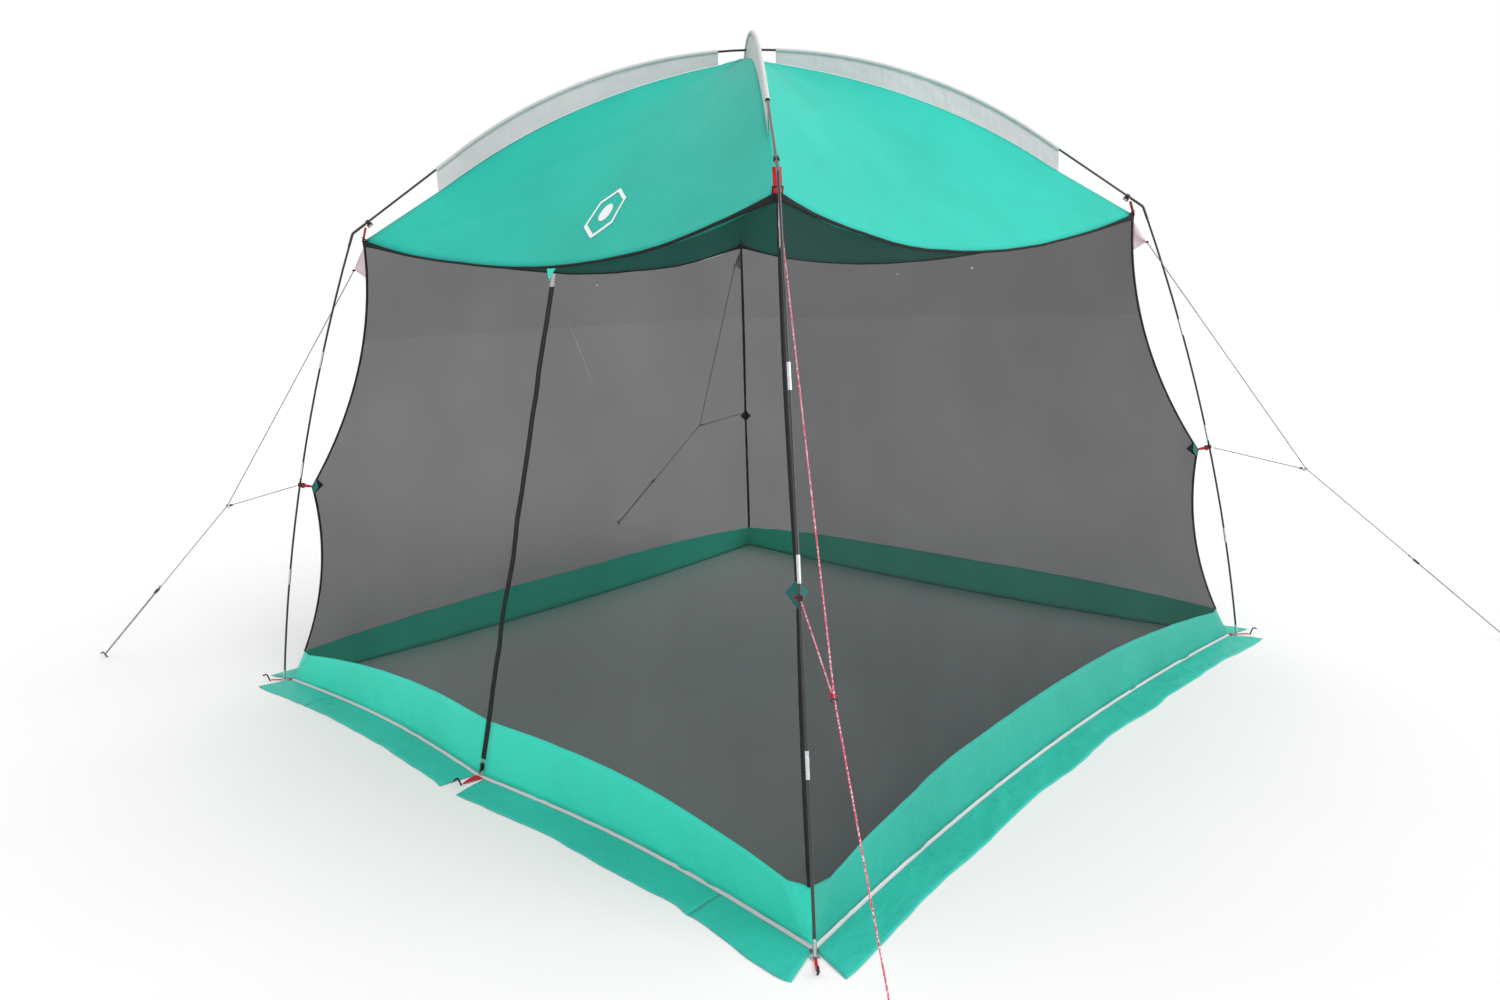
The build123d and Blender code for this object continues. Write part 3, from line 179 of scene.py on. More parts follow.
def net(name, color, cover):
    """Fine insect net: part of the light goes straight through between the threads."""
    n = Nodes(name)
    thread = n.add("ShaderNodeBsdfPrincipled", Roughness=0.75)
    thread.inputs["Specular IOR Level"].default_value = 0.08
    n.join(n.ramp(n.noise(5.0), [(0.3, shade(color, 0.8)), (0.7, shade(color, 1.2))]), thread.inputs["Base Color"])
    gap = n.add("ShaderNodeBsdfTransparent")
    share = n.ramp(n.noise(2.2, 4.0), [(0.3, (cover - 0.02,) * 3), (0.7, (cover + 0.02,) * 3)])
    mix = n.add("ShaderNodeMixShader")
    n.join(share, mix.inputs[0])
    n.join(gap.outputs[0], mix.inputs[1])
    n.join(thread.outputs[0], mix.inputs[2])
    return n.finish(mix.outputs[0])


def hard(name, color, rough, metal=0.0, scale=40.0, stretch=None, coat=0.0, bump=0.08):
    n = Nodes(name)
    grain = n.noise(scale, 5.0, stretch)
    bsdf = n.add("ShaderNodeBsdfPrincipled", Metallic=metal, Normal=n.bump(grain, bump, 0.0005))
    n.join(n.ramp(grain, [(0.3, shade(color, 0.82)), (0.7, shade(color, 1.15))]), bsdf.inputs["Base Color"])
    n.join(n.ramp(grain, [(0.3, (rough * 0.8,) * 3), (0.7, (rough * 1.2,) * 3)]), bsdf.inputs["Roughness"])
    bsdf.inputs["Coat Weight"].default_value = coat
    return n.finish(bsdf.outputs[0])


def flecked_rope(name, color, fleck):
    n = Nodes(name)
    tint = n.ramp(n.noise(260.0, 1.0), [(0.5, color), (0.62, fleck)])
    bsdf = n.add("ShaderNodeBsdfPrincipled", Roughness=0.7, Normal=n.bump(n.weave(0.0022), 0.6, 0.0006))
    n.join(tint, bsdf.inputs["Base Color"])
    return n.finish(bsdf.outputs[0])


GREEN = (0.012, 0.415, 0.335)
MATERIALS = {
    "canopy": cloth("canopy_cloth", GREEN, crease=0.22, through=0.4),
    "band": cloth("band_cloth", (0.030, 0.54, 0.43), rough=0.5, crease=0.5, through=0.5),
    "band_shaded": cloth("band_cloth_sunny_side", (0.020, 0.32, 0.255), rough=0.5, crease=0.6, through=0.5),
    "skirt": cloth("skirt_cloth", (0.028, 0.46, 0.365), rough=0.5, crease=0.5),
    "patch": cloth("patch_cloth", (0.008, 0.115, 0.100), rough=0.6),
    "sleeve": cloth("sleeve_cloth", (0.53, 0.53, 0.535), rough=0.7, crease=0.3),
    "net": net("insect_net", (0.015, 0.016, 0.018), 0.65),
    # Painted light and shade: one net all round, given a lighter, more open copy on the back and left walls and a
    # darker, denser copy on the right wall.
    "net_back": net("insect_net_back_and_left_painted_light", (0.018, 0.020, 0.022), 0.56),
    "net_right": net("insect_net_right_painted_shade", (0.015, 0.016, 0.018), 0.73),
    "binding": cloth("black_binding", (0.012, 0.012, 0.013), rough=0.8, pitch=0.0025, contrast=0.2),
    "tape": cloth("ground_tape", (0.52, 0.53, 0.54), rough=0.8, pitch=0.0025),
    "webbing": cloth("red_webbing", (0.52, 0.006, 0.020), rough=0.7, pitch=0.0025, bump=0.5),
    "black_webbing": cloth("black_webbing", (0.014, 0.014, 0.015), rough=0.8, pitch=0.0025, bump=0.5),
    "gusset": cloth("gusset_cloth", (0.62, 0.50, 0.53), rough=0.7),
    "badge": cloth("badge_print", (0.80, 0.84, 0.83), rough=0.6, contrast=0.04),
    "rope": flecked_rope("guy_rope", (0.32, 0.31, 0.31), (0.30, 0.02, 0.05)),
    "bright_rope": flecked_rope("bright_guy_rope", (0.66, 0.05, 0.12), (0.80, 0.72, 0.74)),
    "knot": cloth("dark_red_knot", (0.10, 0.004, 0.012), rough=0.8, pitch=0.002, bump=0.6),
    "pole": hard("black_fibreglass", (0.010, 0.010, 0.011), 0.22, coat=0.5, stretch=(1, 1, 0.1)),
    "steel": hard("brushed_steel", (0.62, 0.63, 0.65), 0.30, metal=1.0, scale=160.0),
    "plastic": hard("black_plastic", (0.014, 0.014, 0.015), 0.42, scale=300.0),
    "zip_metal": hard("dark_zip_metal", (0.03, 0.03, 0.032), 0.35, metal=0.6, scale=250.0),
    "peg": hard("black_peg", (0.02, 0.02, 0.022), 0.38, metal=0.5, scale=120.0),
    "cord": hard("shock_cord", (0.02, 0.02, 0.02), 0.8, scale=200.0),
}


# ---- Mesh helpers ----
def make_piece(name, vertices, faces, material, body, slot=None, smooth=True, thickness=0.0, offset=-1.0):
    mesh = bpy.data.meshes.new(name)
    mesh.from_pydata([tuple(v) for v in vertices], [], faces)
    mesh.validate()
    mesh.materials.append(MATERIALS[material])
    piece = bpy.data.objects.new(name, mesh)
    bpy.context.collection.objects.link(piece)
    for polygon in mesh.polygons:
        polygon.use_smooth = smooth
    if thickness:
        solid = piece.modifiers.new("thickness", "SOLIDIFY")
        solid.thickness = thickness
        solid.offset = offset
        bpy.context.view_layer.update()
        apply_modifiers(piece)
    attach(piece, body)
    return piece


def apply_modifiers(piece):
    graph = bpy.context.evaluated_depsgraph_get()
    mesh = bpy.data.meshes.new_from_object(piece.evaluated_get(graph))
    piece.modifiers.clear()
    piece.data = mesh


def grid_faces(rows, columns, start=0, flip=False):
    faces = []
    for r in range(rows - 1):
        for c in range(columns - 1):
            a = start + r * columns + c
            quad = (a, a + 1, a + columns + 1, a + columns)
            faces.append(quad[::-1] if flip else quad)
    return faces


def grid_piece(name, points, *args, **kwargs):
    """A sheet from rows of points."""
    points = np.asarray(points, float)
    rows, columns = points.shape[:2]
    return make_piece(name, points.reshape(-1, 3), grid_faces(rows, columns), *args, **kwargs)


def turned(points, degrees):
    a = math.radians(degrees)
    turn = np.array([[math.cos(a), -math.sin(a), 0], [math.sin(a), math.cos(a), 0], [0, 0, 1]])
    return np.asarray(points, float) @ turn.T


def smooth_step(x, low, high):
    t = np.clip((x - low) / (high - low), 0.0, 1.0)
    return t * t * (3 - 2 * t)


def rumple(x, y, z, scale, seed):
    """Smooth bumps between about -1 and 1 at a place."""
    return noise.noise(Vector((x * scale + seed, y * scale - seed, z * scale + 2 * seed)))


# ---- Canopy ----
def ridge_height(reach):
    """The ridge hangs below the pole by the sleeve's flange, and runs straight from the sleeve to the corner."""
    plan = reach * math.sqrt(2)
    hung_plan = min(plan, SLEEVE_END)
    share = hung_plan / SLEEVE_END
    height = roof_line(hung_plan)[0][1] - FLANGE - FLANGE_GROWTH * share + FLANGE_EASING * share ** 2
    past = max(plan - SLEEVE_END, 0.0) / (CORNER_REACH * math.sqrt(2) - SLEEVE_END)
    return height + past * (CORNER_HEIGHT - height)


def canopy_wrinkle(s, t, seed):
    """How far the cloth stands off its smooth shape: pulls from the corners, creases at the peak."""
    total = 0.0
    for side in (-1, 1):
        away = math.hypot((1 - side * s) * 1.1 * t, 1 - t)
        turn = math.atan2(1 - t, max((1 - side * s) * t, 1e-6))
        pull = away * math.exp(-away / 0.22) / 0.22
        total += 0.0100 * pull * math.sin(15 * turn + 2.2 * side + seed) * smooth_step(away, 0.0, 0.08)
        total += 0.0045 * pull * math.sin(29 * turn + 1.3 * side - seed)
    total += 0.0035 * math.exp(-t / 0.22) * smooth_step(t, 0.0, 0.06) * math.sin(9 * s + seed) * (1 - s * s)
    total += 0.006 * rumple(s, t, seed, 3.1, seed) * (1 - s ** 4)
    total += 0.0016 * rumple(s * t * 1.6, t, seed, 13.0, seed) * (1 - s ** 4)
    return total * (1 - s ** 12)


def canopy_point(s, t, seed=0.0):
    ridge_reach, middle_reach = CORNER_REACH * t, HEM_REACH * t
    middle_height = APEX - (APEX - HEM_HEIGHT) * t ** 1.45
    bow = s * s
    x = s * ridge_reach
    y = -(middle_reach + (ridge_reach - middle_reach) * bow)
    z = middle_height + (ridge_height(ridge_reach) - middle_height) * bow
    lift = canopy_wrinkle(s, t, seed)
    return (x, y - 0.55 * lift, z + 0.83 * lift)


def make_canopy():
    """One continuous cover: a ring of four panels, all from the peak to the hem."""
    down = [0.004] + [k / 46 for k in range(1, 47)]
    across = [k / 30 for k in range(-30, 30)]
    points = [(0, 0, APEX)]
    for t in down:
        for quarter, angle in enumerate(SIDES.values()):
            row = [canopy_point(s, t, 1.7 * quarter) for s in across]
            points += [tuple(p) for p in turned(row, angle)]
    ring = 4 * len(across)
    faces = [(0, 1 + k, 1 + (k + 1) % ring) for k in range(ring)]
    for r in range(len(down) - 1):
        for k in range(ring):
            a, b = 1 + r * ring + k, 1 + r * ring + (k + 1) % ring
            faces.append((a, a + ring, b + ring, b))
    cover = make_piece("canopy_cover", points, faces, "canopy", "tent", "canopy", thickness=0.0008)
    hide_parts("canopy_front", "canopy_right", "canopy_back", "canopy_left")
    return cover


def hem_point(s, drop):
    x, y, z = canopy_point(s, 1.0)
    return (x, y, z - drop)


def hem_width(s):
    return 0.0065 + 0.013 * abs(s) ** 10


def make_hem():
    """The black tape folded over the canopy's lower edge, wider at the corners."""
    points = []
    across = [k / 24 for k in range(-24, 24)]
    for out, share in ((0.0022, -0.3), (0.0026, 0.3), (0.0022, 1.0), (-0.0012, 1.1), (-0.0012, 0.3)):
        row = []
        for quarter, angle in enumerate(SIDES.values()):
            ring = []
            for s in across:
                x, y, z = canopy_point(s, 1.0, 1.7 * quarter)
                ring.append((x * (1 + out), y - out, z - share * hem_width(s)))
            row += [tuple(p) for p in turned(ring, angle)]
        points.append(row + row[:1])
    hem = grid_piece("hem_tape", points, "binding", "tent", "binding")
    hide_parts("hem_tapes")
    return hem


def make_badge():
    """A plain six-sided outline with a plain disc, in the place of a printed mark."""
    centre_s, centre_t, half = 0.11, 0.845, 0.100
    grids = []
    for inner, outer, count in ((0.84, 1.0, 72), (0.0, 0.34, 36)):
        rings = []
        for j in range(4):
            radius = inner + (outer - inner) * j / 3
            row = []
            for k in range(count + 1):
                turn = 2 * math.pi * k / count
                six = math.cos(math.pi / 6) / math.cos((turn % (math.pi / 3)) - math.pi / 6) if inner else 1.0
                u, v = radius * six * math.sin(turn), radius * six * math.cos(turn)
                s = centre_s + u * half * 0.86 / (CORNER_REACH * centre_t)
                x, y, z = canopy_point(s, centre_t - v * half * 0.82)
                row.append((x, y - 0.0010, z + 0.0015))
            rings.append(row)
        grids.append((rings, False))
    return join_grids("badge", grids, "badge", "tent", "canopy")


# ---- Sleeves ----
def roof_line(plan, drop=0.0):
    """A point and the outward direction of the roof pole's line, in its own upright plane."""
    joint = ROOF_RADIUS * math.sin(ROOF_ANGLE)
    top = APEX + FLANGE
    sign = 1 if plan >= 0 else -1
    plan = abs(plan)
    if plan <= joint:
        turn = math.asin(plan / ROOF_RADIUS)
        height = top - ROOF_RADIUS + ROOF_RADIUS * math.cos(turn)
    else:
        turn = ROOF_ANGLE
        height = top - ROOF_RADIUS + ROOF_RADIUS * math.cos(ROOF_ANGLE) - (plan - joint) * math.tan(ROOF_ANGLE)
    return (sign * (plan - drop * math.sin(turn)), height - drop * math.cos(turn)), sign * turn


def make_sleeve(name, azimuth, lift, start, end, seed):
    """A cloth tube round the pole, drawn down to a sewn flange; it puckers along its length."""
    count = int(abs(end - start) / 0.006)
    profile = [(math.sin(a), -math.cos(a)) for a in (math.radians(22 + k * 316 / 18) for k in range(19))]
    rows = []
    for k in range(count + 1):
        plan = start + (end - start) * k / count
        (d, z), turn = roof_line(plan)
        pucker = 1 + 0.10 * rumple(plan, seed, 0, 26.0, seed) + 0.06 * rumple(plan, 0, seed, 90.0, seed)
        bottom = z + lift - ridge_height(abs(plan) / math.sqrt(2)) - 0.002
        if abs(plan) < 0.026 and lift:
            bottom = 0.008
        flanges = []
        for side in (1, -1):
            flange = []
            for j in range(7):
                v = j / 6
                sway = (0.0030 * rumple(plan, v * 0.5, seed, 15.0, seed) + 0.0012 * rumple(plan, 0, seed, 60.0, seed))
                flange.append((d, side * 0.0012 + sway * math.sin(math.pi * v), z + lift - bottom + (bottom - 0.0064) * v))
            flanges.append(flange if side > 0 else flange[::-1])
        tube = []
        for u, v in profile:
            u, v = 0.0069 * pucker * u, 0.0069 * pucker * v
            tube.append((d + v * math.sin(turn), u, z + lift + v * math.cos(turn)))
        rows.append(turned(flanges[0] + tube + flanges[1], azimuth))
    return grid_piece(name, rows, "sleeve", "tent", "sleeve")


# ---- Walls ----
def seam_reach(z):
    """How far out the corner seam is, along a smooth line through the sewn points."""
    if z >= TIE_HEIGHT:
        share = min((z - TIE_HEIGHT) / (CORNER_HEIGHT - TIE_HEIGHT), 1.0)
        return TIE_REACH + share * (CORNER_REACH - TIE_REACH) - 4 * 0.062 * share * (1 - share)
    share = max((z - FOOT) / (TIE_HEIGHT - FOOT), 0.0)
    return GROUND_REACH + share * (TIE_REACH - GROUND_REACH) - 4 * 0.054 * share * (1 - share)


def middle_reach(z):
    share = (z - FOOT) / (HEM_HEIGHT - FOOT)
    return GROUND_REACH + share * (HEM_REACH - GROUND_REACH)


def fold_reach(z):
    """Half width of the flat lower part of a wall, between the two fold lines."""
    return max(SLOT + (GROUND_REACH - SLOT) * (DOOR_TOP - z) / (DOOR_TOP - FOOT), SLOT)


def foot_bow(u, door):
    """How far in the foot of a wall is drawn: u is 0 in the middle of the wall and 1 at its corner."""
    u = min(abs(u), 1.0)
    return DOOR_BOW * math.sin(math.pi * u) if door else FOOT_BOW * (1 - u * u)


def zip_wave(z):
    """The zip wanders a little between its straight ends."""
    inside = smooth_step(z, 0.12, 0.35) * smooth_step(DOOR_TOP - z, 0.05, 0.25)
    return (0.0150 * rumple(z, 0.4, 0, 4.6, 6.0) + 0.004 * rumple(z, 1.7, 0, 11.0, 2.0) - 0.004) * inside


def band_top(x):
    return 0.190 - 0.060 * min(abs(x / GROUND_REACH), 1.0) ** 3


def wall_wrinkle(x, z, seed):
    """Soft pulls from the tied corner points, with small bumps and ripples near the foot."""
    total = 0.0
    for side in (-1, 1):
        for height, size in ((TIE_HEIGHT, 0.010), (CORNER_HEIGHT, 0.006)):
            dx, dz = side * seam_reach(height) - x, z - height
            away = math.hypot(dx, dz)
            turn = math.atan2(dz, side * dx)
            pull = away * math.exp(-away / 0.20) / 0.20
            total += size * pull * (math.sin(11 * turn + seed + side) + 0.35 * math.sin(27 * turn + 2 * seed))
    total += 0.007 * rumple(x, z, 0, 2.4, seed) * smooth_step(z, 0.05, 0.3)
    total += 0.002 * rumple(x, z, 3, 9.0, seed)
    low = smooth_step(0.24 - z, 0.0, 0.10) * smooth_step(z, 0.0, 0.03)
    corner = smooth_step(abs(x), 0.75, 1.35)
    total += 0.0050 * rumple(x, z * 0.35, 1, 9.0, seed) * low
    total += 0.0060 * rumple(x + z * (0.9 if x < 0 else -0.9), 0.2, 1, 26.0, seed) * low * (0.25 + corner)
    return total


def wall_point(q, z, inner, seed):
    """A point of the front wall's left part: q is 0 at the fold line and 1 at the corner seam."""
    r, m = seam_reach(z), middle_reach(z)
    x = inner + (r - inner) * q
    power = 1.0 + 1.0 * smooth_step(z, 1.35, 1.69)
    y = m + (r - m) * q ** power
    y += wall_wrinkle(-x, z, seed) * 4 * q * (1 - q)
    return (-x, -y, z)


def fitted_to_hem(p, q, inner, share):
    """Draws the top rows of a wall onto the hem's own curve."""
    s = (inner + (CORNER_REACH - inner) * q) / CORNER_REACH
    x, y, z = hem_point(-s, 0.005)
    k = share ** 3
    return tuple(a + (b - a) * k for a, b in zip(p, (x, y, z)))


def side_rows(seed, slot, q_count=40, z_count=110):
    """Rows of the part of a wall outside the fold line, from the ground to the hem."""
    rows = []
    for j in range(z_count + 1):
        v = j / z_count
        row = []
        for i in range(q_count + 1):
            q = i / q_count
            s = (slot + (CORNER_REACH - slot) * q) / CORNER_REACH
            top = HEM_HEIGHT + (CORNER_HEIGHT - HEM_HEIGHT) * s * s - 0.005
            z = FOOT + (top - FOOT) * v
            inner = max(fold_reach(z), slot) if z < DOOR_TOP else slot
            p = wall_point(q, z, inner, seed)
            row.append(fitted_to_hem(p, q, slot, max(z - DOOR_TOP, 0.0) / (top - DOOR_TOP)))
        rows.append(row)
    return rows


def flat_rows(seed, slot, side, x_count=40, z_count=110):
    """Rows of the flat part between the zip and the fold line, on the left or the right."""
    rows = []
    for j in range(z_count + 1):
        z = FOOT + (DOOR_TOP - FOOT) * j / z_count
        width = fold_reach(z)
        row = []
        for i in range(x_count + 1):
            u = i / x_count
            x = slot + (width - slot) * u
            edge = min(u, 1 - u) * 4 if slot > 0.001 else min(1.0, (1 - u) * 4)
            share = (DOOR_TOP - z) / (DOOR_TOP - FOOT)
            y = middle_reach(z) + wall_wrinkle(side * x, z, seed) * min(edge, 1.0) * smooth_step(DOOR_TOP - z, 0, 0.2)
            y -= foot_bow(x / max(width, 0.001), slot > 0.001) * share
            weave = zip_wave(z) * math.exp(-abs(x - slot) / 0.12) if slot > 0.001 else 0.0
            row.append((side * x + weave, -y, z))
        rows.append(row)
    return rows


def split_rows(rows):
    """Cuts rows of a wall into the mud band and the net, along the band's curved top edge."""
    rows = np.asarray(rows, float)
    count = rows.shape[1]
    band, mesh = [], []
    levels = 9
    for c in range(count):
        column = rows[:, c]
        edge = band_top(column[0][0])
        heights = column[:, 2]
        lower = [sample(column, heights, FOOT + (edge - FOOT) * k / (levels - 1)) for k in range(levels)]
        above = [p for p in column if p[2] > edge + 0.004]
        missing = len(rows) - len(above)
        upper = [lower[-1]] * missing + above
        band.append(lower)
        mesh.append(upper)
    return np.swapaxes(np.array(band), 0, 1), np.swapaxes(np.array(mesh), 0, 1)


def sample(column, heights, z):
    return np.array([np.interp(z, heights, column[:, 0]), np.interp(z, heights, column[:, 1]), z])


def join_grids(name, grids, material, body, slot, thickness=0.0):
    """One piece from several grids, with their shared borders merged."""
    vertices, faces = [], []
    for grid, flip in grids:
        grid = np.asarray(grid, float)
        rows, columns = grid.shape[:2]
        faces += grid_faces(rows, columns, len(vertices), flip)
        vertices += [tuple(p) for p in grid.reshape(-1, 3)]
    keys, index, merged = {}, [], []
    for v in vertices:
        key = tuple(round(c, 5) for c in v)
        if key not in keys:
            keys[key] = len(merged)
            merged.append(v)
        index.append(keys[key])
    clean = []
    for face in faces:
        ids = []
        for i in face:
            if index[i] not in ids:
                ids.append(index[i])
        if len(ids) > 2:
            clean.append(ids)
    return make_piece(name, merged, clean, material, body, slot, thickness=thickness)


def mirrored(grid):
    grid = np.array(grid, float)
    grid[..., 0] *= -1
    return grid


def make_plain_wall(side, seed):
    angle = SIDES[side]
    left_band, left_net = split_rows(side_rows(seed, 0.0))
    right_band, right_net = split_rows(side_rows(seed + 5, 0.0))
    flat_left = split_rows(flat_rows(seed, 0.0, -1))
    flat_right = split_rows(flat_rows(seed, 0.0, 1))
    nets, bands = [], []
    for k, store in ((0, bands), (1, nets)):
        store.append((turned((left_band, left_net)[k], angle), True))
        store.append((turned(mirrored((right_band, right_net)[k]), angle), False))
        store.append((turned(flat_left[k], angle), True))
        store.append((turned(flat_right[k], angle), False))
    # Painted light and shade: the right wall takes the darker net copy, the back and left walls the lighter one.
    threads = "net_right" if side == "right" else "net_back"
    net_piece = join_grids(f"net_{side}", nets, threads, "tent", "mesh")
    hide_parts(f"mesh_{side}")
    colour = "band_shaded" if side == "right" else "band"
    band_piece = join_grids(f"band_{side}", bands, colour, "tent", "mud_band", thickness=0.0008)
    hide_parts(f"mud_band_{side}")
    return net_piece, band_piece


def make_front_sides():
    nets, bands = [], []
    left = split_rows(side_rows(9.0, SLOT))
    right = split_rows(side_rows(13.0, SLOT))
    for k, store in ((0, bands), (1, nets)):
        store.append((left[k], True))
        store.append((mirrored(right[k]), False))
    net_piece = join_grids("net_front_sides", nets, "net", "tent", "mesh")
    band_piece = join_grids("band_front_sides", bands, "band", "tent", "mud_band", thickness=0.0008)
    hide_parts("mesh_front_sides")
    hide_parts("mud_band_front_sides")
    return net_piece, band_piece


def make_door_half(name, side, seed):
    band, mesh = split_rows(flat_rows(seed, SLOT, side))
    body = f"door_{name}"
    net_piece = join_grids(f"net_door_{name}", [(mesh, side < 0)], "net", body, "mesh")
    band_piece = join_grids(f"band_door_{name}", [(band, side < 0)], "band", body, "mud_band", thickness=0.0008)
    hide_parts(f"mesh_door_{name}")
    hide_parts(f"mud_band_door_{name}")
    return net_piece, band_piece


# ---- Skirts and the ground tape ----
def skirt_grid(inner, outer, seed, door, rows=12):
    """A flap lying on the ground with soft ripples; inner and outer are the x values of its two edges."""
    count = max(int((outer[1] - outer[0]) / 0.016), 8)
    grid = []
    for r in range(rows + 1):
        v = r / rows
        row = []
        for c in range(count + 1):
            u = c / count
            x = (inner[0] + (inner[1] - inner[0]) * u) * (1 - v) + (outer[0] + (outer[1] - outer[0]) * u) * v
            loose = v * smooth_step(1 - abs(2 * u - 1), 0.0, 0.1)
            wander = (0.014 * rumple(x, 0, 0, 3.2, seed) + 0.005 * rumple(x, 1, 0, 9.0, seed)) * loose
            wander += foot_bow(x / GROUND_REACH, door)
            ripple = 0.5 + 0.5 * rumple(x, v * 0.3, 0, 8.0, seed + 2)
            z = 0.0012 + 0.018 * ripple * v * (1.12 - v)
            row.append((x, -(SKIRT_NEAR - 0.004) - (SKIRT_FAR - SKIRT_NEAR + 0.004) * v + wander, z))
        grid.append(row)
    return grid


def make_skirts():
    reach = GROUND_REACH
    for seed, side in enumerate(("right", "back", "left")):
        grid = skirt_grid((-reach, reach), (-reach - SKIRT_TIP, reach + SKIRT_TIP), 3.0 * seed, False)
        piece = join_grids(f"skirt_{side}_cloth", [(turned(grid, SIDES[side]), True)], "skirt", "tent", "skirt", 0.0008)
        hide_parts(f"skirt_{side}")
    corners = []
    for side in (-1, 1):
        grid = skirt_grid((-reach, -SKIRT_SPLIT - 0.001), (-reach - SKIRT_TIP, -SKIRT_SPLIT - 0.001), 11.0 + side, True)
        corners.append((grid if side < 0 else mirrored(grid), side < 0))
    piece = join_grids("skirt_front_corner_cloth", corners, "skirt", "tent", "skirt", 0.0008)
    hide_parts("skirt_front_corners")
    for name, side in (("left", -1), ("right", 1)):
        grid = skirt_grid((-SKIRT_SPLIT + 0.001, -0.024), (-SKIRT_SPLIT + 0.001, -0.050), 17.0 + side, True)
        shape = (grid if side < 0 else mirrored(grid), side < 0)
        piece = join_grids(f"skirt_door_{name}_cloth", [shape], "skirt", f"door_{name}", "skirt", 0.0008)
        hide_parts(f"skirt_door_{name}")


def tape_strip(name, start, end, angle, body):
    """The pale tape sewn along the foot of a wall, standing up a little and turning out onto the skirt."""
    rows = []
    count = max(int((end - start) / 0.02), 2)
    for out, high in ((0.0008, 0.009), (0.0012, 0.005), (0.003, 0.0032), (0.008, 0.0030)):
        row = []
        for k in range(count + 1):
            x = start + (end - start) * k / count
            wave = 0.0012 * rumple(x, out, 0, 14.0, 1.0)
            y = foot_bow(x / GROUND_REACH, angle == 0) - middle_reach(high) - out + wave
            row.append((x, y, high + 0.0006 * rumple(x, 2, 0, 20.0, 4.0)))
        rows.append(row)
    return grid_piece(name, turned(rows, angle), "tape", body, "skirt")


def make_ground_tapes():
    reach = GROUND_REACH
    for side in ("right", "back", "left"):
        tape_strip(f"ground_tape_{side}", -reach, reach, SIDES[side], "tent")
    tape_strip("ground_tape_front_left", -reach, -SKIRT_SPLIT, 0, "tent")
    tape_strip("ground_tape_front_right", SKIRT_SPLIT, reach, 0, "tent")
    tape_strip("ground_tape_door_left", -SKIRT_SPLIT, -SLOT, 0, "door_left")
    tape_strip("ground_tape_door_right", SLOT, SKIRT_SPLIT, 0, "door_right")


# ---- Corner trims ----
def seam_corner(z, out=0.0):
    r = seam_reach(z) + out
    return (-r, -r, z)


def wall_beside_seam(z, reach, out):
    """A point on the front wall, reach in from its left seam and out proud of it."""
    r, inner = seam_reach(z), max(fold_reach(z), SLOT) if z < DOOR_TOP else SLOT
    q = 1 - reach / max(r - inner, 0.05)
    x, y, z = wall_point(max(q, 0.0), z, inner, 9.0)
    return (x, y - out, z)


def make_corner_bindings():
    """Black tape, folded over each corner seam and slightly wavy."""
    grids = []
    for angle in CORNERS.values():
        rows = []
        for k in range(111):
            z = band_top(GROUND_REACH) + (CORNER_HEIGHT - HEM_DROP - 0.004 - band_top(GROUND_REACH)) * k / 110
            half = 0.0075 + 0.0012 * rumple(z, angle, 0, 20.0, 3.0)
            a = wall_beside_seam(z, half, 0.0016)
            middle = seam_corner(z, 0.0022)
            b = (a[1], a[0], a[2])
            rows.append([a, lerp(a, middle, 0.6), middle, lerp(b, middle, 0.6), b])
        grids.append((turned(rows, angle), True))
    piece = join_grids("corner_seam_tape", grids, "binding", "tent", "binding")
    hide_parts("corner_bindings")


def lerp(a, b, k):
    return tuple(p + (q - p) * k for p, q in zip(a, b))


def make_patches():
    """Folded cloth patches that spread the pull of the mid-height straps."""
    grids = []
    for seed, angle in enumerate(CORNERS.values()):
        rows = []
        for j in range(13):
            z = TIE_HEIGHT - 0.033 + 0.066 * j / 12
            wide = 0.046 * (1 - abs(j / 6 - 1)) + 0.002
            row = []
            for i in range(17):
                u = i / 8 - 1
                fold = 0.0028 + 0.0014 * rumple(u, z, seed, 12.0, seed)
                a = wall_beside_seam(z, abs(u) * wide, fold)
                row.append(a if u < 0 else (a[1], a[0], a[2]))
            rows.append(row)
        grids.append((turned(rows, angle), False))
    piece = join_grids("corner_patch_cloth", grids, "patch", "tent", "mud_band", 0.0006)
    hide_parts("corner_patches")


def strap(name, start, end, width_way, width, material, body="tent", slot="webbing", thickness=0.0015, wave=0.0):
    """Flat webbing between two points, with a slight wave."""
    start, end, way = Vector(start), Vector(end), Vector(width_way).normalized()
    normal = (end - start).cross(way).normalized()
    rows = []
    for k in range(13):
        u = k / 12
        centre = start.lerp(end, u) + normal * wave * math.sin(math.pi * u)
        rows.append([tuple(centre + way * width * (i / 4 - 0.5)) for i in range(5)])
    return grid_piece(name, rows, material, body, slot, thickness=thickness, offset=0.0)


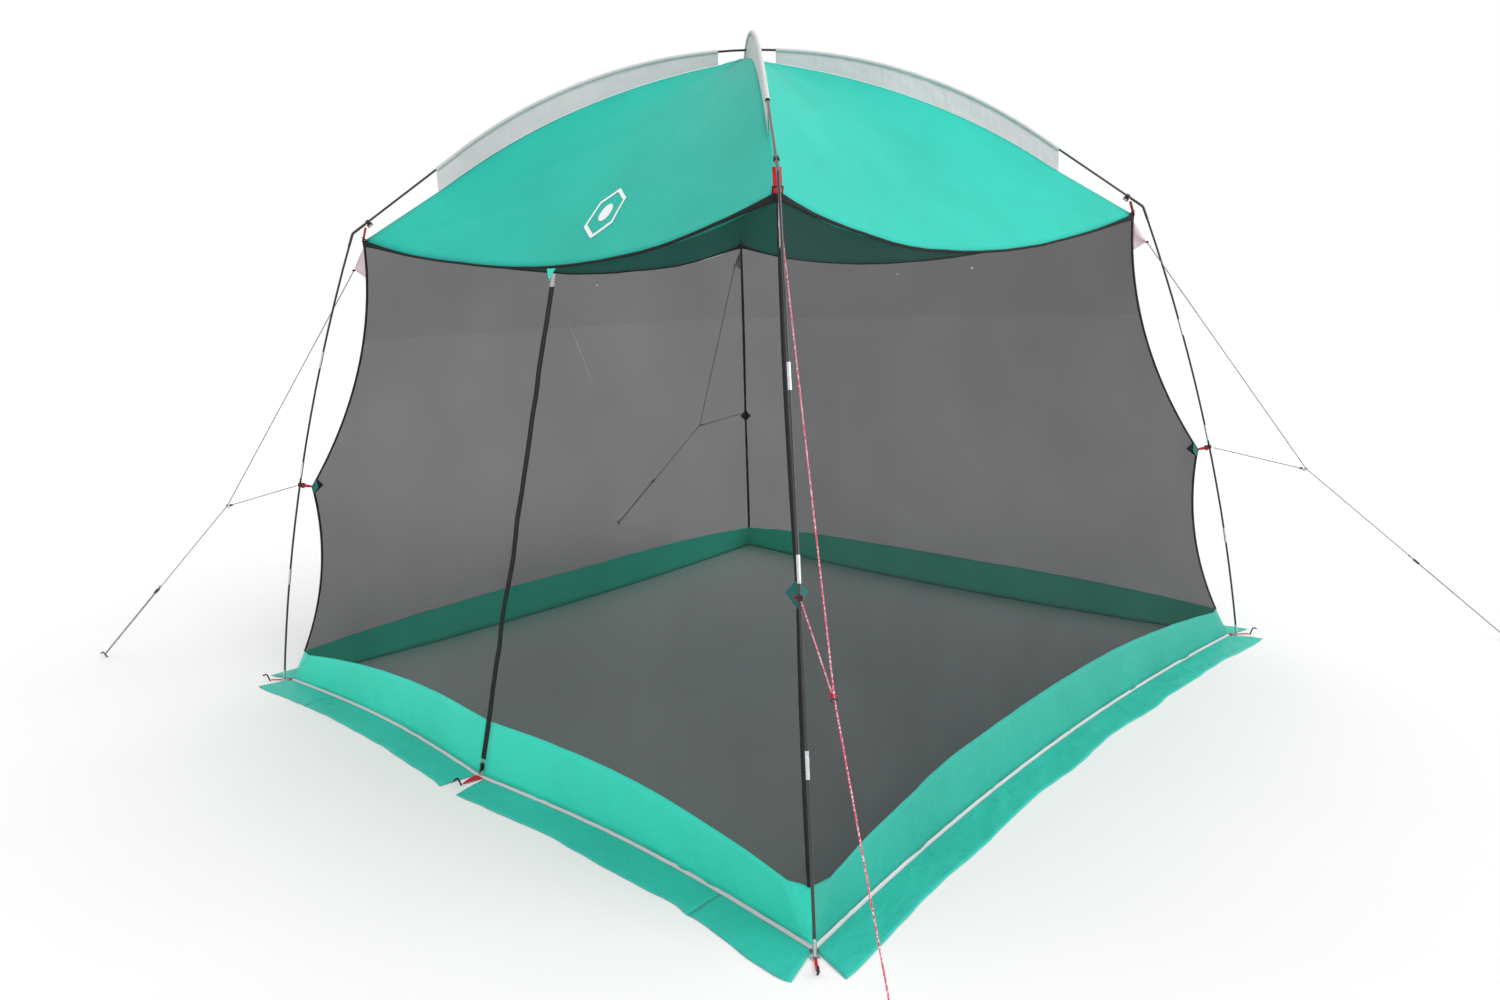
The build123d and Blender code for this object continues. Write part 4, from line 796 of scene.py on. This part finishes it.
def make_straps():
    """Webbing from the clips to the canopy's corners and the patches."""
    for name, angle in CORNERS.items():
        lift = 0.0 if name in ("front_left", "back_right") else PITCH
        corner = turned((CORNER_REACH, CORNER_REACH, 0), 180 + angle)
        way = Vector((-corner[1], corner[0], 0))
        out = Vector((corner[0], corner[1], 0)).normalized()
        top = out * 1.5470 + Vector((0, 0, 1.8935 + lift))
        bottom = out * 1.5642 + Vector((0, 0, 1.838))
        strap(f"corner_strap_{name}", top, bottom, way, 0.024, "webbing")
        strap(f"corner_loop_{name}", bottom + Vector((0, 0, 0.018)), bottom - out * 0.03 - Vector((0, 0, 0.006)), way, 0.030, "black_webbing")
        tie = out * 1.893 + Vector((0, 0, 0.8555))
        leg = out * 1.9300 + Vector((0, 0, 0.8622))
        for layer, height in (("over", 0.0038), ("under", -0.0038)):
            shift = Vector((0, 0, height))
            strap(f"mid_strap_{layer}_{name}", leg + shift, tie + shift * 0.3, way, 0.025, "webbing")
    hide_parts("corner_straps")


def make_foot_webbing():
    for name, angle in CORNERS.items():
        out = Vector(turned((-1, -1, 0), angle)).normalized()
        way = Vector((-out.y, out.x, 0))
        rows = []
        for k in range(9):
            u = k / 8
            centre = out * (2.090 + 0.020 * u) + Vector((0, 0, 0.0045 + 0.002 * math.sin(math.pi * u)))
            half = 0.011 * (1 - u) + 0.003 * u
            rows.append([tuple(centre + way * half * (i / 3 - 1)) for i in range(7)])
        grid_piece(f"foot_webbing_{name}", rows, "webbing", "tent", "webbing", thickness=0.0014, offset=0.0)
        start = out * 2.131 + Vector((0, 0, 0.0045))
        end = out * 2.178 + Vector((0, 0, 0.0060))
        strap(f"peg_loop_{name}", start, end, way, 0.008, "webbing")
    rows = []
    for k in range(11):
        u = k / 10
        y = -1.4785 - 0.066 * u
        half = 0.020 * (1 - u) + 0.003 * u
        rows.append([(half * (i / 4 - 1), y, 0.0025 + 0.004 * math.sin(math.pi * u)) for i in range(9)])
    grid_piece("zip_foot_webbing", rows, "webbing", "tent", "webbing", thickness=0.0014, offset=0.0)
    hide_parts("ground_webbing")


GUSSETS = {"front_left": 205.0, "front_right": 320.0, "back_right": 35.0, "back_left": 180.0}


def make_gussets():
    for name, azimuth in GUSSETS.items():
        out = Vector((math.cos(math.radians(azimuth)), math.sin(math.radians(azimuth)), 0))
        side = Vector((-out.y, out.x, 0))
        rows = []
        for j in range(13):
            v = j / 12
            z = 1.700 + 0.115 * v
            r = seam_reach(z) + 0.0015
            base = Vector(turned((-r, -r, z), CORNERS[name]))
            tip = Vector(turned((-1.1088, -1.1088, 1.732), CORNERS[name])) + out * 0.052
            row = []
            for i in range(9):
                u = i / 8
                p = base.lerp(tip, u * 0.97) + side * 0.004 * math.sin(math.pi * u) * math.sin(2.4 * math.pi * v)
                row.append(tuple(p))
            rows.append(row)
        grid_piece(f"gusset_{name}", rows, "gusset", "tent", "gusset", thickness=0.0010, offset=0.0)
    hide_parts("guy_gussets")


# ---- Guys ----
GUYS = {
    "front_left": [(-1.1568, -1.1314, 1.7303), (-1.7355, -1.542, 0.765), (-2.5307, -1.9077, 0.0106),
                   (-2.5268, -1.9161, 0.0106), (-2.1432, -1.7396, 0.3746)],
    "front_right": [(1.1494, -1.143, 1.7303), (1.6804, -1.6311, 0.765), (2.3479, -2.1972, 0.0106),
                    (2.3538, -2.1902, 0.0106), (2.0317, -1.917, 0.3746)],
    "back_right": [(1.1522, 1.1393, 1.7303), (1.7006, 1.6024, 0.765), (2.4203, 2.1007, 0.0106),
                   (2.415, 2.1082, 0.0106), (2.0678, 1.8678, 0.3746)],
    "back_left": [(-1.1618, 1.1092, 1.7303), (-1.7739, 1.3739, 0.765), (-2.6492, 1.3786, 0.0106),
                  (-2.6492, 1.3694, 0.0106), (-2.2269, 1.3671, 0.3746)],
}
BRANCHES = {
    "front_left": [(-1.3892, -1.3806, 0.8605), (-1.7232, -1.5367, 0.7645)],
    "front_right": [(1.3877, -1.3855, 0.8605), (1.6701, -1.6226, 0.7645)],
    "back_right": [(1.3877, 1.3833, 0.8605), (1.6896, 1.5949, 0.7645)],
    "back_left": [(-1.3919, 1.3739, 0.8605), (-1.7605, 1.3747, 0.7647)],
}


def near_corners(points, gap=0.018):
    """The route with a point on each straight run close to the thing that it goes round."""
    route = [Vector(points[0])]
    for before, corner, after in zip(points, points[1:], points[2:]):
        before, corner, after = Vector(before), Vector(corner), Vector(after)
        if (before - corner).length > 3 * gap:
            route.append(corner + (before - corner).normalized() * gap)
        route.append(corner)
        if (after - corner).length > 3 * gap:
            route.append(corner + (after - corner).normalized() * gap)
    route.append(Vector(points[-1]))
    return route


def rope_curve(name, points, material="rope"):
    data = bpy.data.curves.new(name, "CURVE")
    data.dimensions = "3D"
    data.bevel_depth = 0.0019
    data.bevel_resolution = 3
    data.resolution_u = 12
    data.materials.append(MATERIALS[material])
    spline = data.splines.new("NURBS")
    spline.points.add(len(points) - 1)
    for point, place in zip(spline.points, points):
        point.co = (*place, 1)
    spline.order_u = 3
    spline.use_endpoint_u = True
    curve = bpy.data.objects.new(name, data)
    bpy.context.collection.objects.link(curve)
    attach(curve, "tent")
    return curve


def knot(name, place, size, material):
    """A small overhand knot: a trefoil of cord drawn tight."""
    count, around = 60, 8
    points = []
    for k in range(count):
        a = 2 * math.pi * k / count
        centre = Vector((math.sin(a) + 2 * math.sin(2 * a), math.cos(a) - 2 * math.cos(2 * a), -math.sin(3 * a)))
        ahead = Vector((math.cos(a) + 4 * math.cos(2 * a), -math.sin(a) + 4 * math.sin(2 * a), -3 * math.cos(3 * a)))
        side = ahead.cross(Vector((0, 0, 1))).normalized()
        other = ahead.cross(side).normalized()
        ring = []
        for j in range(around + 1):
            b = 2 * math.pi * j / around
            ring.append(tuple(Vector(place) + (centre + (side * math.cos(b) + other * math.sin(b)) * 1.0) * size / 3))
        points.append(ring)
    points.append(points[0])
    piece = join_grids(name, [(points, False)], material, "tent", "rope")
    return piece


def make_guys():
    for name, points in GUYS.items():
        route = near_corners(points)
        end_knot = knot(f"guy_end_knot_{name}", points[-1], 0.0045, "rope")
        top_knot = knot(f"gusset_knot_{name}", points[0], 0.0060, "knot")
        curve = rope_curve(f"guy_{name}", route, "bright_rope" if name == "front_right" else "rope")
        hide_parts(f"guy_rope_{name}")
    for name, points in BRANCHES.items():
        start, end = (Vector(p) for p in points)
        route = [start, start.lerp(end, 0.5), end]
        curve = rope_curve(f"guy_branch_{name}_rope", route, "bright_rope" if name == "front_right" else "rope")
        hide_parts(f"guy_branch_{name}")
        knot(f"branch_knot_{name}", end.lerp(start, 0.02), 0.0065, "webbing" if name == "front_right" else "knot")


# ---- Zip ----
ZIP_LEAN = math.atan2(GROUND_REACH - HEM_REACH, HEM_HEIGHT - FOOT)
ZIP_UP = Vector((0, math.sin(ZIP_LEAN), math.cos(ZIP_LEAN)))
ZIP_OUT = Vector((0, -math.cos(ZIP_LEAN), math.sin(ZIP_LEAN)))


def zip_place(x, up, out):
    return tuple(Vector((x, -GROUND_REACH, FOOT)) + ZIP_UP * up + ZIP_OUT * out)


def make_zip_half(name, side):
    """Woven tape with a row of coils along its inner edge."""
    start, end = 0.060, 1.690
    count = 330
    rows = []
    for k in range(count + 1):
        up = start + (end - start) * k / count
        wave = 0.0004 * rumple(up, 0, 0, 22.0, 2.0)
        shift = zip_wave(zip_place(0, up, 0)[2])
        rows.append([zip_place(shift + side * (0.0003 + 0.0124 * i / 5), up, -0.0004 + wave * i / 5) for i in range(6)])
    tape = grid_piece(f"zip_tape_{name}_cloth", rows, "binding", f"door_{name}", "zip", thickness=0.0007)
    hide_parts(f"zip_tape_{name}")
    coils = []
    turns, steps = 520, 6
    total = turns * steps
    for k in range(total + 1):
        a = 2 * math.pi * k / steps
        up = start + (end - start) * k / total
        shift = zip_wave(zip_place(0, up, 0)[2])
        centre = (shift + side * (0.0015 + 0.0012 * math.cos(a)), up, -0.0004 + 0.0009 * math.sin(a))
        ring = []
        for x, y in ((0.0004, 0.0), (0.0, 0.0004), (-0.0004, 0.0), (0.0, -0.0004), (0.0004, 0.0)):
            ring.append(zip_place(centre[0] + x, centre[1] + y, centre[2] + x * 0.5))
        coils.append(ring)
    grid_piece(f"zip_coil_{name}", coils, "plastic", f"door_{name}", "zip")


def make_zip_tab():
    """The small cloth triangle at the top of the zip."""
    top = (HEM_HEIGHT - HEM_DROP - FOOT) / math.cos(ZIP_LEAN)
    rows = []
    for j in range(9):
        v = j / 8
        half = 0.023 * (1 - v) + 0.001
        rows.append([zip_place(half * (i / 4 - 1), top - 0.040 * v, 0.0125 + 0.0015 * math.sin(3 * v)) for i in range(9)])
    tab = grid_piece("zip_tab_cloth", rows, "band", "tent", "mud_band", thickness=0.0008)
    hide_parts("zip_tab")


# ---- CAD nodes that stay ----
def paint_frame():
    starts = {
        "pole_tubes": "pole", "shock_cord": "cord", "straight_ferrules": "steel", "elbow_ferrules": "pole",
        "foot_tips": "steel", "foot_pins": "steel", "foot_rings": "steel", "pole_clips": "plastic",
        "ground_pegs": "peg", "guy_pegs": "peg", "guy_rings": "plastic", "guy_runner": "plastic",
        "zip_slider": "zip_metal", "zip_pull": "zip_metal",
    }
    for node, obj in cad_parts.items():
        for start, material in starts.items():
            if node.startswith(start):
                obj.data.materials.clear()
                obj.data.materials.append(MATERIALS[material])


# ---- Floor and light ----
def make_stage():
    n = Nodes("floor_paper")
    bsdf = n.add("ShaderNodeBsdfPrincipled", Roughness=0.9)
    n.join(n.ramp(n.noise(1.5), [(0.3, (0.835, 0.835, 0.835)), (0.7, (0.845, 0.845, 0.845))]), bsdf.inputs["Base Color"])
    material = n.finish(bsdf.outputs[0])
    mesh = bpy.data.meshes.new("floor")
    size = 40
    mesh.from_pydata([(-size, -size, 0), (size, -size, 0), (size, size, 0), (-size, size, 0)], [], [(0, 1, 2, 3)])
    mesh.materials.append(material)
    floor = bpy.data.objects.new("floor", mesh)
    bpy.context.collection.objects.link(floor)
    floor.location.z = -0.0005
    world = bpy.data.worlds.new("studio")
    world.use_nodes = True
    background = world.node_tree.nodes["Background"]
    background.inputs["Color"].default_value = (1, 1, 1, 1)
    background.inputs["Strength"].default_value = 1.0
    bpy.context.scene.world = world
    light = bpy.data.lights.new("key", "SUN")
    light.energy = 1.8
    light.angle = math.radians(60)
    lamp = bpy.data.objects.new("key", light)
    bpy.context.collection.objects.link(lamp)
    lamp.rotation_euler = Vector((0.83, 0.25, 0.50)).to_track_quat("Z", "Y").to_euler()
    bpy.context.scene.view_settings.view_transform = "Standard"


make_camera()
make_guys()
canopy = make_canopy()
hem = make_hem()
badge = make_badge()
for sleeve, pole, azimuth, lift, start, end, seed in (
    ("sleeve_over_peak", "pole_tubes_upper", -45, PITCH, -SLEEVE_END, SLEEVE_END, 1.0),
    ("sleeve_to_left", "pole_tubes_lower", 225, 0.0, SLEEVE_GAP, SLEEVE_END, 2.0),
    ("sleeve_to_right", "pole_tubes_lower", 45, 0.0, SLEEVE_GAP, SLEEVE_END, 3.0),
):
    cloth_tube = make_sleeve(sleeve, azimuth, lift, start, end, seed)
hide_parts("sleeve_long")
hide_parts("sleeves_short")
for seed, side in enumerate(("right", "back", "left")):
    wall_net, wall_band = make_plain_wall(side, 2.0 + 1.3 * seed)
front_net, front_band = make_front_sides()
for name, side, seed in (("left", -1, 21.0), ("right", 1, 27.0)):
    door_net, door_band = make_door_half(name, side, seed)
    make_zip_half(name, side)
make_zip_tab()
make_skirts()
make_ground_tapes()
make_corner_bindings()
make_patches()
make_straps()
make_foot_webbing()
make_gussets()
paint_frame()
make_stage()
